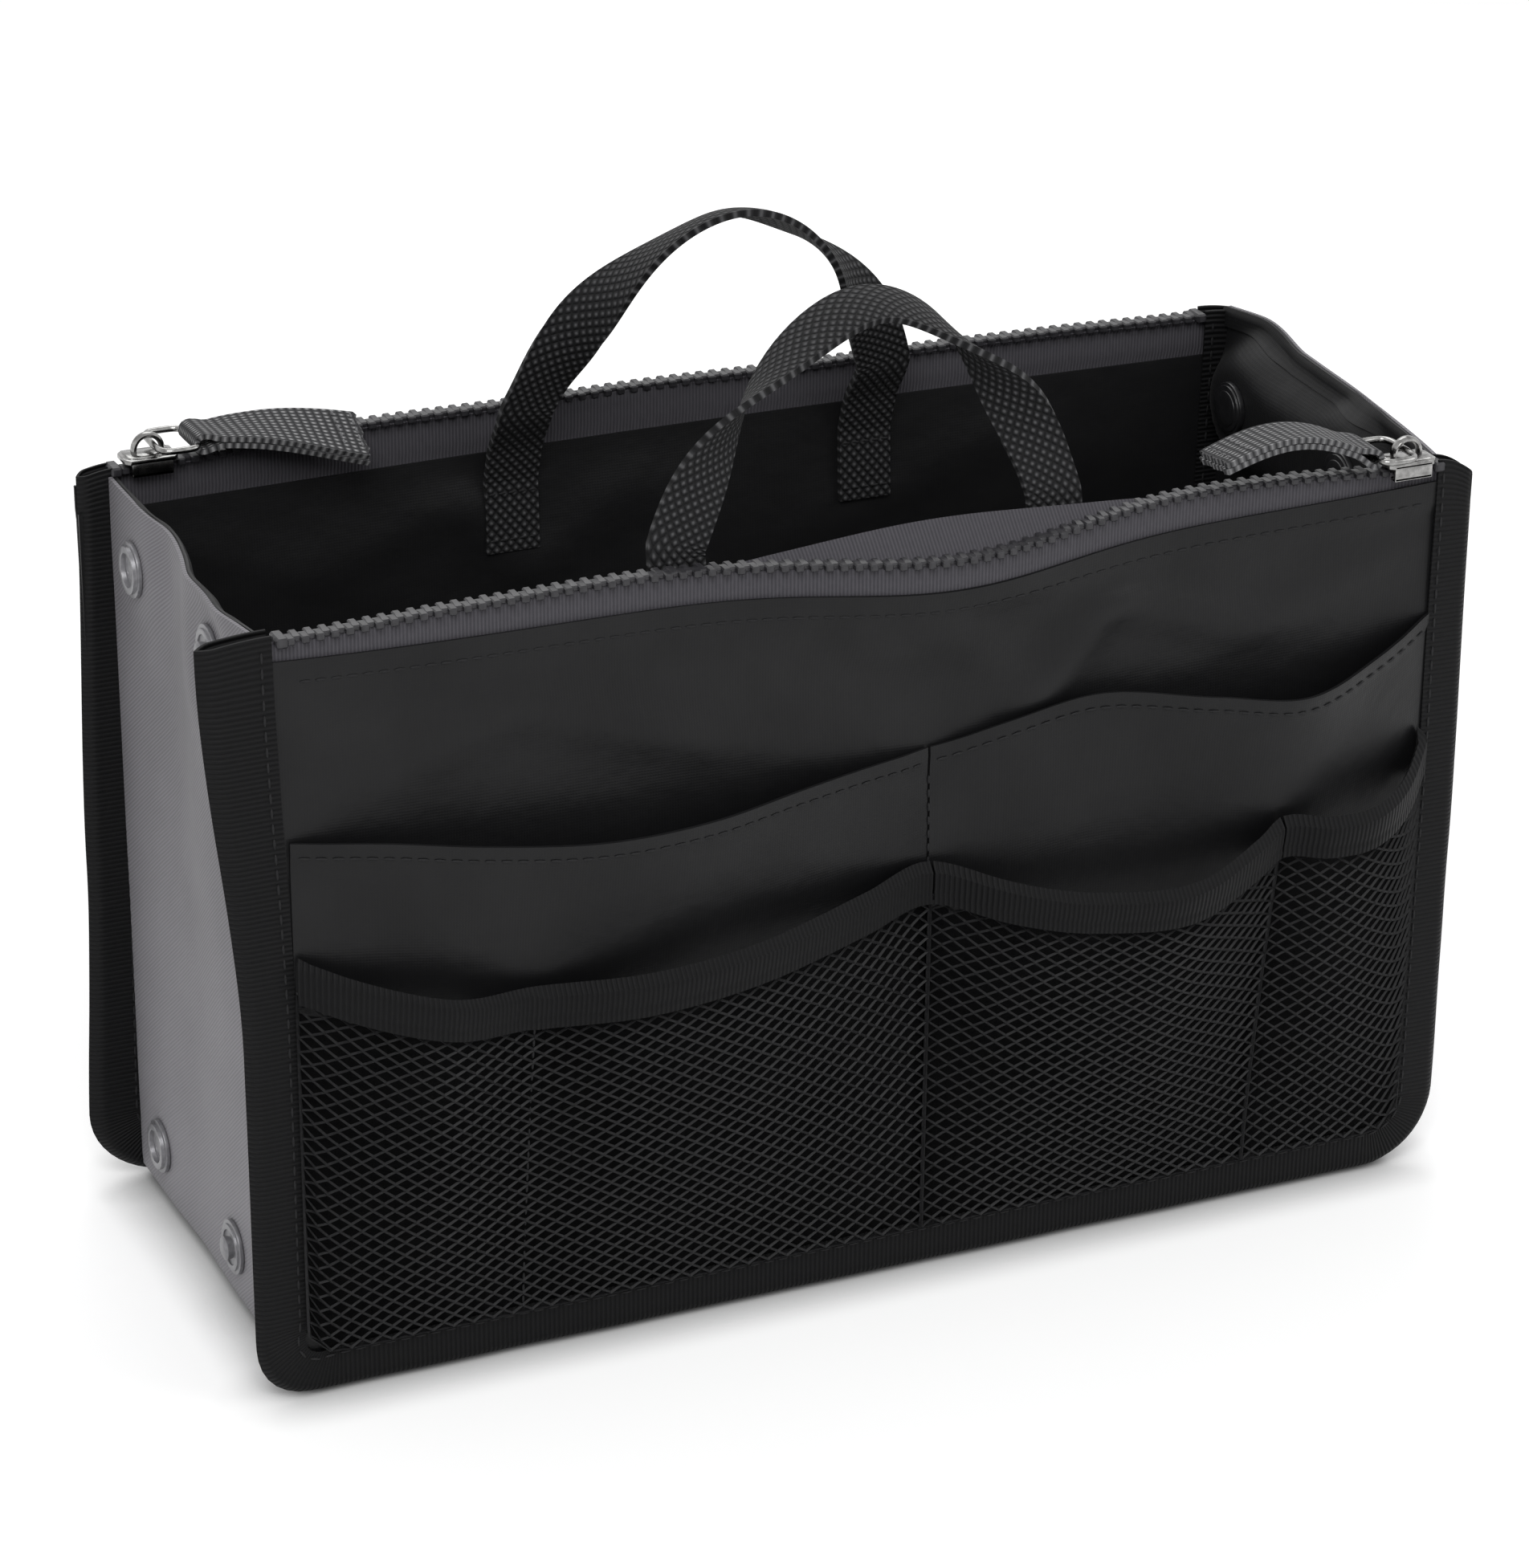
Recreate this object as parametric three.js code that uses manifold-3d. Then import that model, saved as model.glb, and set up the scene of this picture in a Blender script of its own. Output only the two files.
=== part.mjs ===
// A purse organizer insert: two flat zipped panels joined by one folding strip.
// Millimetres, +X along the width, -Y to the front, +Z up, the ground at z = 0.
import * as THREE from "three";
import { mergeVertices } from "three/addons/utils/BufferGeometryUtils.js";
import Module from "manifold-3d";

const wasm = await Module();
wasm.setup();

// Panels
const panelWidth = 290; // over the bound edges
const panelHeight = 172; // ground to the top of the bound edges
const panelSpacing = 108; // between the middle planes of the two panels
const cornerRadius = 18; // lower corners
const wallThickness = 0.6;
const compartmentGap = 0.8; // between a panel's two walls, lying flat

// Bound edges
const bindingWidth = 11;
const bindingLeaf = 0.8; // one layer of the folded tape

// Gap between pieces that are sewn or laid together
const clearance = 0.3;

// Folding strip
const flangeWidth = 9; // how far the bound edge stands out past the strip
const gussetThickness = 0.9;
const liningThickness = 0.6;
const gussetCornerRadius = 9;
const foldDepth = 5; // how far the middle of a side is drawn in
const foldRise = 45; // height over which the fold grows above the lower corner
const topDip = 5; // sag of the strip's top edge

// Snap fasteners
const snapRadius = 6.2;
const snapSpacing = 51; // between the stud and the socket of a pair
const socketInset = 18; // from the middle plane of the rear panel
const snapTopDrop = 16; // upper pair, below the top of the panel
const snapCornerMargin = 0.8; // lower pair, above the strip's corner
const snapFlange = 0.8;
const snapRingHeight = 1.9;
const snapPostRadius = 1.8;
const snapPostReach = 0.6; // length of post inside its cap
const snapCapHeight = 1.9;
const studRadius = 2.3;
const studHeight = 2.8;

// Zips
const tapeHeight = 7; // tape that shows below the teeth
const chainWidth = 5;
const chainHeight = 2.6;
const chainSink = 0.7; // underside of the teeth, below the top of the panel
const chainEndGap = 2; // from the bound edge
const toothPitch = 8;
const toothNotchDepth = 1.1;
const toothNotchWidth = 3;

// Sliders
const sliderLength = 11;
const sliderWall = 1.1;
const sliderClearance = 0.4;
const sliderLip = 0.9;
const sliderEndGap = 0.5;
const bridgeLength = 8;
const bridgeWidth = 2.4;
const bridgeBar = 1.2;
const bridgeInnerHeight = 3.8;

// Pulls
const pullAxisSetback = 1; // from the middle of the slider towards the strap
const pullAxisRise = 2; // above the slider's top plate
const ringWire = 1.6;
const ringReach = 9; // from the bar in the bridge to the bar in the strap
const strapWidth = 12;
const strapLength = 42;
const strapLayer = 1.4;
const strapArch = 4.5;

// Handles
const webbingWidth = 13;
const webbingThickness = 1.6;
const handleSpacing = 88; // between the middles of the two legs
const handleHeight = 47; // above the fold line
const handleRoundness = 1.5; // 2 would be an ellipse
const handleLean = 20; // degrees, towards the inside
const frontHandleSway = 5.5; // of the top of the arch to one side of its legs
const rearHandleSway = 3.5;
const rearHandleShift = 2.8; // of the rear handle along +X, off the middle
const handleFoldRise = 4; // fold line above the top of the panel
const handlePlainLength = 4; // of each leg before it starts to twist
const handleTwist = 126; // degrees from a leg to the top, past level
const tabRise = 19; // from the sewn patch to the fold line
const tabSewnLength = 17;

// Slip pockets on the front, heights of their mouths above the ground
const pocketDivider = 11; // x of the seam between left and right
const slipMouthLeft = 125;
const slipMouthDivider = 121;
const slipMouthRight = 132;
const slipGape = 12;
const slipThickness = 0.8;

// Net pockets in front of them
const netMouthLeft = 100;
const netMouthDivider = 96;
const netMouthRight = 106;
const penDivider = -85;
const smallPocketDivider = 93;
const netGape = 14;
const netThickness = 0.9;
const netBindingHeight = 9;
const netBindingThickness = 1.6;
const netGapWidth = 14;
const netGapHeight = 14.5;
const netOpenShare = 0.74; // of a diamond's width that is open

// Slip pockets on the rear
const rearMouth = 118;
const rearGape = 9;

// Steps of the round and curved forms
const cornerSteps = 6;
const roundSteps = 10;
const pocketColumns = 12;
const pocketRows = 6;
const handleSteps = 32;
const strapSteps = 8;

const halfWidth = panelWidth / 2;
const outerFace = compartmentGap / 2 + wallThickness;
const slotHalf = outerFace + clearance;
const bindingHalf = slotHalf + bindingLeaf;
const wallInset = bindingLeaf + clearance;

const chainBase = panelHeight - chainSink;
const chainTop = chainBase + chainHeight;
const chainHalf = halfWidth - bindingWidth - chainEndGap;
const tapeTop = chainBase - clearance;
const tapeBottom = tapeTop - tapeHeight;
const wallTop = tapeBottom - clearance;

const sliderTop = chainTop + sliderClearance + sliderWall;
const sliderRest = chainHalf - sliderLength / 2 - sliderEndGap;
const pullAxisHeight = sliderTop + pullAxisRise;

const handleFold = panelHeight + handleFoldRise;
const leanTurn = THREE.MathUtils.degToRad(handleLean);
const tabInset = outerFace + clearance + webbingThickness / 2;
const handleInset = tabInset + tabRise * Math.tan(leanTurn);
const tabEndGap = webbingThickness / 2 + clearance / 2;

const gussetHalf = panelSpacing / 2 - bindingHalf - clearance;
const gussetSide = halfWidth - flangeWidth;
const socketPlace = panelSpacing / 2 - socketInset;
const studPlace = socketPlace - snapSpacing;
const snapMiddle = socketPlace - snapSpacing / 2;
const foldHalf = snapSpacing / 2 - snapRadius - clearance;
const snapTop = panelHeight - snapTopDrop;
const snapBottom = gussetCornerRadius + snapRadius + snapCornerMargin;

const pocketHalf = halfWidth - bindingWidth - clearance;

const finishes = {
  nylon: { color: 0x141416, roughness: 0.55 },
  lining: { color: 0x101012, roughness: 0.6 },
  binding: { color: 0x17171a, roughness: 0.75 },
  net: { color: 0x1a1a1c, roughness: 0.7 },
  greyStrip: { color: 0x76737a, roughness: 0.7 },
  zipTape: { color: 0x4b4a4f, roughness: 0.8 },
  zipTeeth: { color: 0x3d3d42, roughness: 0.45 },
  webbing: { color: 0x464648, roughness: 0.85 },
  pullWebbing: { color: 0x5f5f61, roughness: 0.85 },
  nickel: { color: 0xd8d8d6, roughness: 0.2, metalness: 1 },
  snapGrey: { color: 0x8c8a90, roughness: 0.45 },
  snapBlack: { color: 0x1b1b1d, roughness: 0.4 },
};

const organizer = new THREE.Group();

function addMesh(parent, name, geometry, finish) {
  const mesh = new THREE.Mesh(geometry, new THREE.MeshStandardMaterial(finishes[finish]));
  mesh.name = name;
  parent.add(mesh);
  return mesh;
}

// Merges shared corners, drops flat triangles and turns the faces outwards.
function closedGeometry(geometry) {
  const bare = new THREE.BufferGeometry();
  bare.setAttribute("position", geometry.getAttribute("position"));
  bare.setIndex(geometry.getIndex());
  const merged = mergeVertices(bare, 1e-4);
  const corners = merged.getIndex().array;
  const kept = [];
  let volume = 0;
  const a = new THREE.Vector3();
  const b = new THREE.Vector3();
  const c = new THREE.Vector3();
  const place = merged.getAttribute("position");
  for (let i = 0; i < corners.length; i += 3) {
    const [p, q, r] = corners.slice(i, i + 3);
    if (p === q || q === r || r === p) continue;
    kept.push(p, q, r);
    a.fromBufferAttribute(place, p);
    b.fromBufferAttribute(place, q);
    c.fromBufferAttribute(place, r);
    volume += a.dot(b.cross(c));
  }
  if (volume < 0) kept.reverse();
  merged.setIndex(kept);
  return merged;
}

function toSolid(geometry) {
  const closed = closedGeometry(geometry);
  const vertProperties = new Float32Array(closed.getAttribute("position").array);
  const triVerts = new Uint32Array(closed.getIndex().array);
  return new wasm.Manifold(new wasm.Mesh({ numProp: 3, vertProperties, triVerts }));
}

function fromSolid(solid) {
  const mesh = solid.getMesh();
  const geometry = new THREE.BufferGeometry();
  geometry.setAttribute("position", new THREE.BufferAttribute(mesh.vertProperties, 3));
  geometry.setIndex(new THREE.BufferAttribute(mesh.triVerts, 1));
  return geometry;
}

// A flat piece drawn in (x, z), between two distances outward from the panel's middle plane.
function slab(shape, innerDistance, outerDistance) {
  const depth = outerDistance - innerDistance;
  const options = { depth, bevelEnabled: false, curveSegments: cornerSteps };
  const geometry = new THREE.ExtrudeGeometry(shape, options);
  geometry.rotateX(Math.PI / 2);
  geometry.translate(0, -innerDistance, 0);
  return geometry;
}

// A bar along X whose section is drawn in (y, z).
function beam(shape, length) {
  const geometry = new THREE.ExtrudeGeometry(shape, { depth: length, bevelEnabled: false });
  geometry.translate(0, 0, -length / 2);
  geometry.rotateX(Math.PI / 2);
  geometry.rotateZ(Math.PI / 2);
  return geometry;
}

function outline(points) {
  return new THREE.Shape(points.map(([x, y]) => new THREE.Vector2(x, y)));
}

// Cells are polygons in (s, t), all turning the same way. point(s, t, face) places each corner
// on the first or second face of the sheet. Open edges get a wall.
function thickSheet(cells, point) {
  const numbers = new Map();
  const position = [];
  const index = [];
  const edges = new Map();
  const cornerNumber = ([s, t]) => {
    const key = `${Math.round(s * 1e5)},${Math.round(t * 1e5)}`;
    if (!numbers.has(key)) {
      numbers.set(key, numbers.size);
      position.push(...point(s, t, 0), ...point(s, t, 1));
    }
    return numbers.get(key);
  };
  for (const cell of cells) {
    const ring = cell.map(cornerNumber);
    for (let k = 1; k + 1 < ring.length; k++) {
      index.push(2 * ring[0] + 1, 2 * ring[k] + 1, 2 * ring[k + 1] + 1);
      index.push(2 * ring[0], 2 * ring[k + 1], 2 * ring[k]);
    }
    ring.forEach((from, k) => {
      const to = ring[(k + 1) % ring.length];
      edges.set(`${from},${to}`, [from, to]);
    });
  }
  for (const [from, to] of edges.values()) {
    if (edges.has(`${to},${from}`)) continue;
    index.push(2 * to + 1, 2 * from + 1, 2 * from);
    index.push(2 * to + 1, 2 * from, 2 * to);
  }
  const geometry = new THREE.BufferGeometry();
  geometry.setAttribute("position", new THREE.Float32BufferAttribute(position, 3));
  geometry.setIndex(index);
  return closedGeometry(geometry);
}

function gridCells(columns, rows) {
  const cells = [];
  for (let i = 0; i < columns; i++) {
    for (let j = 0; j < rows; j++) {
      const left = i / columns;
      const right = (i + 1) / columns;
      const low = j / rows;
      const high = (j + 1) / rows;
      cells.push([[left, low], [right, low], [right, high], [left, high]]);
    }
  }
  return cells;
}

// A net of diamonds: each has an open middle, and the halves along the border are filled.
function netCells(columns, rows, openShare) {
  const cells = [];
  const a = 0.5 / columns;
  const b = 0.5 / rows;
  const inside = ([s, t]) => s > -a / 2 && s < 1 + a / 2 && t > -b / 2 && t < 1 + b / 2;
  for (let m = 0; m <= 2 * columns; m++) {
    for (let n = m % 2; n <= 2 * rows; n += 2) {
      const s = m * a;
      const t = n * b;
      const outer = [[s + a, t], [s, t + b], [s - a, t], [s, t - b]];
      if (outer.every(inside)) {
        const inner = outer.map(([p, q]) => [s + (p - s) * openShare, t + (q - t) * openShare]);
        outer.forEach((corner, k) => {
          const next = (k + 1) % outer.length;
          cells.push([corner, outer[next], inner[next], inner[k]]);
        });
      } else {
        cells.push(outer.map((corner) => (inside(corner) ? corner : [s, t])));
      }
    }
  }
  return cells;
}

// The rounded lower part of a panel, drawn in by inset, up to the height top.
function panelShape(inset, top) {
  const side = halfWidth - inset;
  const radius = cornerRadius - inset;
  const shape = new THREE.Shape();
  shape.moveTo(-side, top);
  shape.lineTo(-side, cornerRadius);
  shape.absarc(-side + radius, cornerRadius, radius, Math.PI, 1.5 * Math.PI, false);
  shape.lineTo(side - radius, inset);
  shape.absarc(side - radius, cornerRadius, radius, 1.5 * Math.PI, 2 * Math.PI, false);
  shape.lineTo(side, top);
  shape.closePath();
  return shape;
}

function bindingGeometry() {
  const full = toSolid(slab(panelShape(0, panelHeight), -bindingHalf, bindingHalf));
  const window = slab(panelShape(bindingWidth, panelHeight + 1), -2 * bindingHalf, 2 * bindingHalf);
  const slot = slab(panelShape(bindingLeaf, panelHeight + 1), -slotHalf, slotHalf);
  return fromSolid(full.subtract(toSolid(window)).subtract(toSolid(slot)));
}

function tapeShape() {
  const side = halfWidth - wallInset;
  return outline([[-side, tapeBottom], [side, tapeBottom], [side, tapeTop], [-side, tapeTop]]);
}

// Closed teeth as one bar, notched in turn on its two sides.
function chainGeometry() {
  const half = chainWidth / 2;
  const root = half - toothNotchDepth;
  const count = Math.floor((2 * chainHalf) / toothPitch) - 1;
  const first = -(count * toothPitch) / 2;
  const points = [[-chainHalf, -half]];
  for (let k = 0; k < count; k++) {
    const x = first + (k + 0.25) * toothPitch;
    points.push([x, -half], [x, -root], [x + toothNotchWidth, -root], [x + toothNotchWidth, -half]);
  }
  points.push([chainHalf, -half], [chainHalf, half]);
  for (let k = count - 1; k >= 0; k--) {
    const x = first + (k + 0.75) * toothPitch;
    points.push([x + toothNotchWidth, half], [x + toothNotchWidth, root], [x, root], [x, half]);
  }
  points.push([-chainHalf, half]);
  const geometry = new THREE.ExtrudeGeometry(outline(points), { depth: chainHeight, bevelEnabled: false });
  geometry.translate(0, 0, chainBase);
  return geometry;
}

// A saddle around the teeth, with the bridge for the pull on top.
function sliderGeometry() {
  const inner = chainWidth / 2 + sliderClearance;
  const outer = inner + sliderWall;
  const lipEdge = inner - sliderLip - sliderClearance;
  const innerTop = chainTop + sliderClearance;
  const innerBase = chainBase - sliderClearance;
  const base = innerBase - sliderLip;
  const saddle = outline([
    [-outer, base],
    [-lipEdge, base],
    [-lipEdge, innerBase],
    [-inner, innerBase],
    [-inner, innerTop],
    [inner, innerTop],
    [inner, innerBase],
    [lipEdge, innerBase],
    [lipEdge, base],
    [outer, base],
    [outer, sliderTop],
    [-outer, sliderTop],
  ]);
  const foot = sliderTop - sliderWall / 2;
  const half = bridgeLength / 2;
  const innerHalf = half - bridgeBar;
  const innerBridgeTop = sliderTop + bridgeInnerHeight;
  const bridgeTop = innerBridgeTop + bridgeBar;
  const bridge = outline([
    [-half, foot],
    [-innerHalf, foot],
    [-innerHalf, innerBridgeTop - bridgeBar],
    [-innerHalf + bridgeBar, innerBridgeTop],
    [innerHalf - bridgeBar, innerBridgeTop],
    [innerHalf, innerBridgeTop - bridgeBar],
    [innerHalf, foot],
    [half, foot],
    [half, bridgeTop - bridgeBar],
    [half - bridgeBar, bridgeTop],
    [-half + bridgeBar, bridgeTop],
    [-half, bridgeTop - bridgeBar],
  ]);
  const arch = slab(bridge, -bridgeWidth / 2, bridgeWidth / 2);
  return fromSolid(toSolid(beam(saddle, sliderLength)).add(toSolid(arch)));
}

// A flat wire loop around the bridge and through the strap's eye.
function ringGeometry() {
  const innerSide = strapWidth / 2 + clearance;
  const outerSide = innerSide + ringWire;
  const wire = ringWire / 2;
  const frame = outline([
    [wire, -outerSide],
    [wire, outerSide],
    [-ringReach - wire, outerSide],
    [-ringReach - wire, -outerSide],
  ]);
  const hole = outline([
    [-wire, -innerSide],
    [-wire, innerSide],
    [-ringReach + wire, innerSide],
    [-ringReach + wire, -innerSide],
  ]);
  frame.holes.push(hole);
  const geometry = new THREE.ExtrudeGeometry(frame, { depth: ringWire, bevelEnabled: false });
  geometry.translate(0, 0, -wire);
  return geometry;
}

// Webbing folded around the ring's far bar, two layers thick, in a low arch down to the teeth.
function strapGeometry() {
  const eye = ringWire / Math.SQRT2 + clearance / 2;
  const loop = eye + strapLayer;
  const half = strapLayer + clearance / 2;
  const endDrop = chainTop + clearance + half - pullAxisHeight;
  const join = Math.asin(half / loop);
  const middle = (share) => {
    const rise = strapArch * Math.sin(Math.PI * share) + endDrop * share;
    return [-ringReach - share * strapLength, rise];
  };
  const shape = new THREE.Shape();
  shape.absarc(-ringReach, 0, loop, Math.PI + join, Math.PI - join, false);
  const lower = [];
  for (let k = 1; k <= strapSteps; k++) {
    const share = (k + 1) / (strapSteps + 1);
    const [x, z] = middle(share);
    shape.lineTo(x, z + half);
    lower.unshift([x, z - half]);
  }
  lower.forEach(([x, z]) => shape.lineTo(x, z));
  shape.closePath();
  const hole = new THREE.Path();
  hole.absarc(-ringReach, 0, eye, 0, 2 * Math.PI, true);
  shape.holes.push(hole);
  return slab(shape, -strapWidth / 2, strapWidth / 2);
}

// The sewn end of a handle: flat on the inner wall, then leaning in up to the fold line.
function tabGeometry() {
  const half = webbingThickness / 2;
  const bend = handleFold - tabRise;
  const skew = half * Math.tan(leanTurn / 2);
  const along = new THREE.Vector2(Math.sin(leanTurn), Math.cos(leanTurn));
  const across = new THREE.Vector2(Math.cos(leanTurn), -Math.sin(leanTurn));
  const end = new THREE.Vector2(handleInset, handleFold).addScaledVector(along, -tabEndGap);
  const inner = end.clone().addScaledVector(across, half);
  const outer = end.clone().addScaledVector(across, -half);
  const profile = outline([
    [tabInset - half, bend - tabSewnLength],
    [tabInset + half, bend - tabSewnLength],
    [tabInset + half, bend - skew],
    [inner.x, inner.y],
    [outer.x, outer.y],
    [tabInset - half, bend + skew],
  ]);
  return beam(profile, webbingWidth);
}

// A strap that stands on two legs, flat to the panel below. On top its inner face is turned up and out.
function handleGeometry(sway) {
  const power = 2 / handleRoundness;
  const reach = handleSpacing / 2;
  const middle = (turn) => {
    const x = reach * Math.sign(Math.cos(turn)) * Math.abs(Math.cos(turn)) ** power;
    const rise = Math.sin(turn) ** power;
    return new THREE.Vector3(x + sway * rise, 0, handleHeight * rise);
  };
  const side = new THREE.Vector3(0, 1, 0);
  const place = (s, t, face) => {
    const turn = Math.PI * s;
    const step = 0.5 / handleSteps;
    const from = middle(Math.PI * Math.max(s - step, 0));
    const along = middle(Math.PI * Math.min(s + step, 1)).sub(from).normalize();
    if (s === 0) along.set(0, 0, 1);
    if (s === 1) along.set(0, 0, -1);
    const outward = new THREE.Vector3().crossVectors(side, along).normalize();
    const centre = middle(turn);
    const share = (centre.z - handlePlainLength) / (handleHeight - handlePlainLength);
    const twist = THREE.MathUtils.degToRad(handleTwist) * THREE.MathUtils.smoothstep(share, 0, 1);
    const width = outward.multiplyScalar(Math.cos(twist)).addScaledVector(side, -Math.sin(twist));
    const normal = new THREE.Vector3().crossVectors(along, width);
    centre.addScaledVector(width, (t - 0.5) * webbingWidth);
    centre.addScaledVector(normal, (face - 0.5) * webbingThickness);
    return centre.toArray();
  };
  return thickSheet(gridCells(handleSteps, 1), place);
}

// Height of the pocket seam above the bound lower edge, following the round corners.
function pocketBottom(x) {
  const radius = Math.max(cornerRadius - bindingWidth - clearance, 0);
  const beyond = Math.max(Math.abs(x) - (halfWidth - cornerRadius), 0);
  return cornerRadius - Math.sqrt(Math.max(radius * radius - beyond * beyond, 0));
}

// How far a pocket sewn from one x to another stands off, at a share of its height.
function swell(x, from, to, height, gape) {
  const across = Math.min(Math.max((x - from) / (to - from), 0), 1);
  const up = Math.min(Math.max(height, 0), 1);
  return gape * Math.sin(Math.PI * across) ** 0.6 * up ** 0.8;
}

// Height of a mouth that runs straight from seam to seam.
function mouthLine(left, divider, right) {
  return (x) => {
    const end = x < pocketDivider ? left : right;
    const reach = x < pocketDivider ? -pocketHalf - pocketDivider : pocketHalf - pocketDivider;
    return divider + ((end - divider) * (x - pocketDivider)) / reach;
  };
}

const slipMouth = mouthLine(slipMouthLeft, slipMouthDivider, slipMouthRight);
const netMouth = mouthLine(netMouthLeft, netMouthDivider, netMouthRight);

function heightShare(x, z, mouth) {
  return (z - pocketBottom(x)) / (mouth(x) - pocketBottom(x));
}

// Distance of the front slip pockets from the panel's middle plane.
function slipDistance(x, z) {
  const left = swell(x, -pocketHalf, pocketDivider, heightShare(x, z, slipMouth), slipGape);
  const right = swell(x, pocketDivider, pocketHalf, heightShare(x, z, slipMouth), slipGape);
  return outerFace + clearance + (x < pocketDivider ? left : right);
}

// Distance of the net pockets, which lie over the slip pockets along every seam.
function netDistance(x, z) {
  const seams = [-pocketHalf, penDivider, pocketDivider, smallPocketDivider, pocketHalf];
  const share = heightShare(x, z, netMouth);
  let bulge = 0;
  for (let k = 0; k + 1 < seams.length; k++) {
    if (x > seams[k] && x < seams[k + 1]) bulge = swell(x, seams[k], seams[k + 1], share, netGape);
  }
  return slipDistance(x, z) + slipThickness + clearance + bulge;
}

function rearDistance(x, z) {
  const share = heightShare(x, z, () => rearMouth);
  const from = x < 0 ? -pocketHalf : 0;
  return outerFace + clearance + swell(x, from, from + pocketHalf, share, rearGape);
}

// A sheet between two seams, from a lower to an upper line, at a distance outward from the panel.
function pocketSheet(cells, from, to, low, high, distance, thickness) {
  const left = from === -pocketHalf ? from : from + clearance / 2;
  const right = to === pocketHalf ? to : to - clearance / 2;
  return thickSheet(cells, (s, t, face) => {
    const x = left + (right - left) * s;
    const z = low(x) + (high(x) - low(x)) * t;
    return [x, -distance(x, z) - face * thickness, z];
  });
}

function addSlipPockets(group, names, divider, mouth, distance) {
  const cells = gridCells(pocketColumns, pocketRows);
  const spans = [[-pocketHalf, divider], [divider, pocketHalf]];
  spans.forEach(([from, to], k) => {
    const sheet = pocketSheet(cells, from, to, pocketBottom, mouth, distance, slipThickness);
    addMesh(group, names[k], sheet, "nylon");
  });
}

function addNetPockets(group) {
  const spans = [
    ["left", -pocketHalf, pocketDivider],
    ["middle", pocketDivider, smallPocketDivider],
    ["right", smallPocketDivider, pocketHalf],
  ];
  const bindingLow = (x) => netMouth(x) - netBindingHeight;
  const netHigh = (x) => bindingLow(x) - clearance;
  const rows = Math.round((netMouthDivider - netBindingHeight - bindingWidth) / netGapHeight);
  for (const [side, from, to] of spans) {
    const columns = Math.round((to - from) / netGapWidth);
    const cells = netCells(columns, rows, netOpenShare);
    const net = pocketSheet(cells, from, to, pocketBottom, netHigh, netDistance, netThickness);
    addMesh(group, `net_pocket_${side}`, net, "net");
    const band = gridCells(2 * columns, 1);
    const strip = pocketSheet(band, from, to, bindingLow, netMouth, netDistance, netBindingThickness);
    addMesh(group, `net_binding_${side}`, strip, "binding");
  }
}

// One panel with its zip, slider, pull and handle, facing -Y around its own middle plane.
function panelGroup(end) {
  const group = new THREE.Group();
  const wall = panelShape(wallInset, wallTop);
  const tape = tapeShape();
  const innerWall = -compartmentGap / 2 - wallThickness;
  addMesh(group, `${end}_outer_wall`, slab(wall, compartmentGap / 2, outerFace), "nylon");
  addMesh(group, `${end}_inner_wall`, slab(wall, innerWall, -compartmentGap / 2), "lining");
  addMesh(group, `${end}_binding`, bindingGeometry(), "binding");
  addMesh(group, `${end}_zip_tape_outer`, slab(tape, compartmentGap / 2, outerFace), "zipTape");
  addMesh(group, `${end}_zip_tape_inner`, slab(tape, innerWall, -compartmentGap / 2), "zipTape");
  addMesh(group, `${end}_zip_chain`, chainGeometry(), "zipTeeth");

  const slider = addMesh(group, `${end}_slider`, sliderGeometry(), "nickel");
  slider.position.x = sliderRest;

  const pull = new THREE.Group();
  pull.position.set(sliderRest - pullAxisSetback, 0, pullAxisHeight);
  addMesh(pull, `${end}_pull_ring`, ringGeometry(), "nickel");
  addMesh(pull, `${end}_pull_strap`, strapGeometry(), "pullWebbing");
  group.add(pull);

  const sides = end === "front" ? ["left", "right"] : ["right", "left"];
  const shift = end === "front" ? 0 : -rearHandleShift;
  const sway = end === "front" ? frontHandleSway : rearHandleSway;
  sides.forEach((side, k) => {
    const tab = addMesh(group, `${end}_handle_tab_${side}`, tabGeometry(), "webbing");
    tab.position.x = (k - 0.5) * handleSpacing + shift;
  });
  const handle = addMesh(group, `${end}_handle`, handleGeometry(sway), "webbing");
  handle.position.set(shift, handleInset, handleFold);
  handle.rotation.x = -leanTurn;
  return group;
}

// Stations down the left side, along the floor and up the right side, each with its outward normal.
function gussetStations() {
  const stations = [];
  const floorReach = gussetSide - gussetCornerRadius;
  const levels = [1, 0.75, 0.5, 0.25];
  const straight = panelHeight - gussetCornerRadius;
  levels.forEach((share) => {
    stations.push({ x: -gussetSide, z: gussetCornerRadius + share * straight, nx: -1, nz: 0 });
  });
  for (let k = 0; k <= cornerSteps; k++) {
    const turn = Math.PI * (1 + (0.5 * k) / cornerSteps);
    stations.push({
      x: -floorReach + gussetCornerRadius * Math.cos(turn),
      z: gussetCornerRadius * (1 + Math.sin(turn)),
      nx: Math.cos(turn),
      nz: Math.sin(turn),
    });
  }
  const mirrored = stations.map(({ x, z, nx, nz }) => ({ x: -x, z, nx: -nx, nz })).reverse();
  return [...stations, ...mirrored];
}

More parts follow.
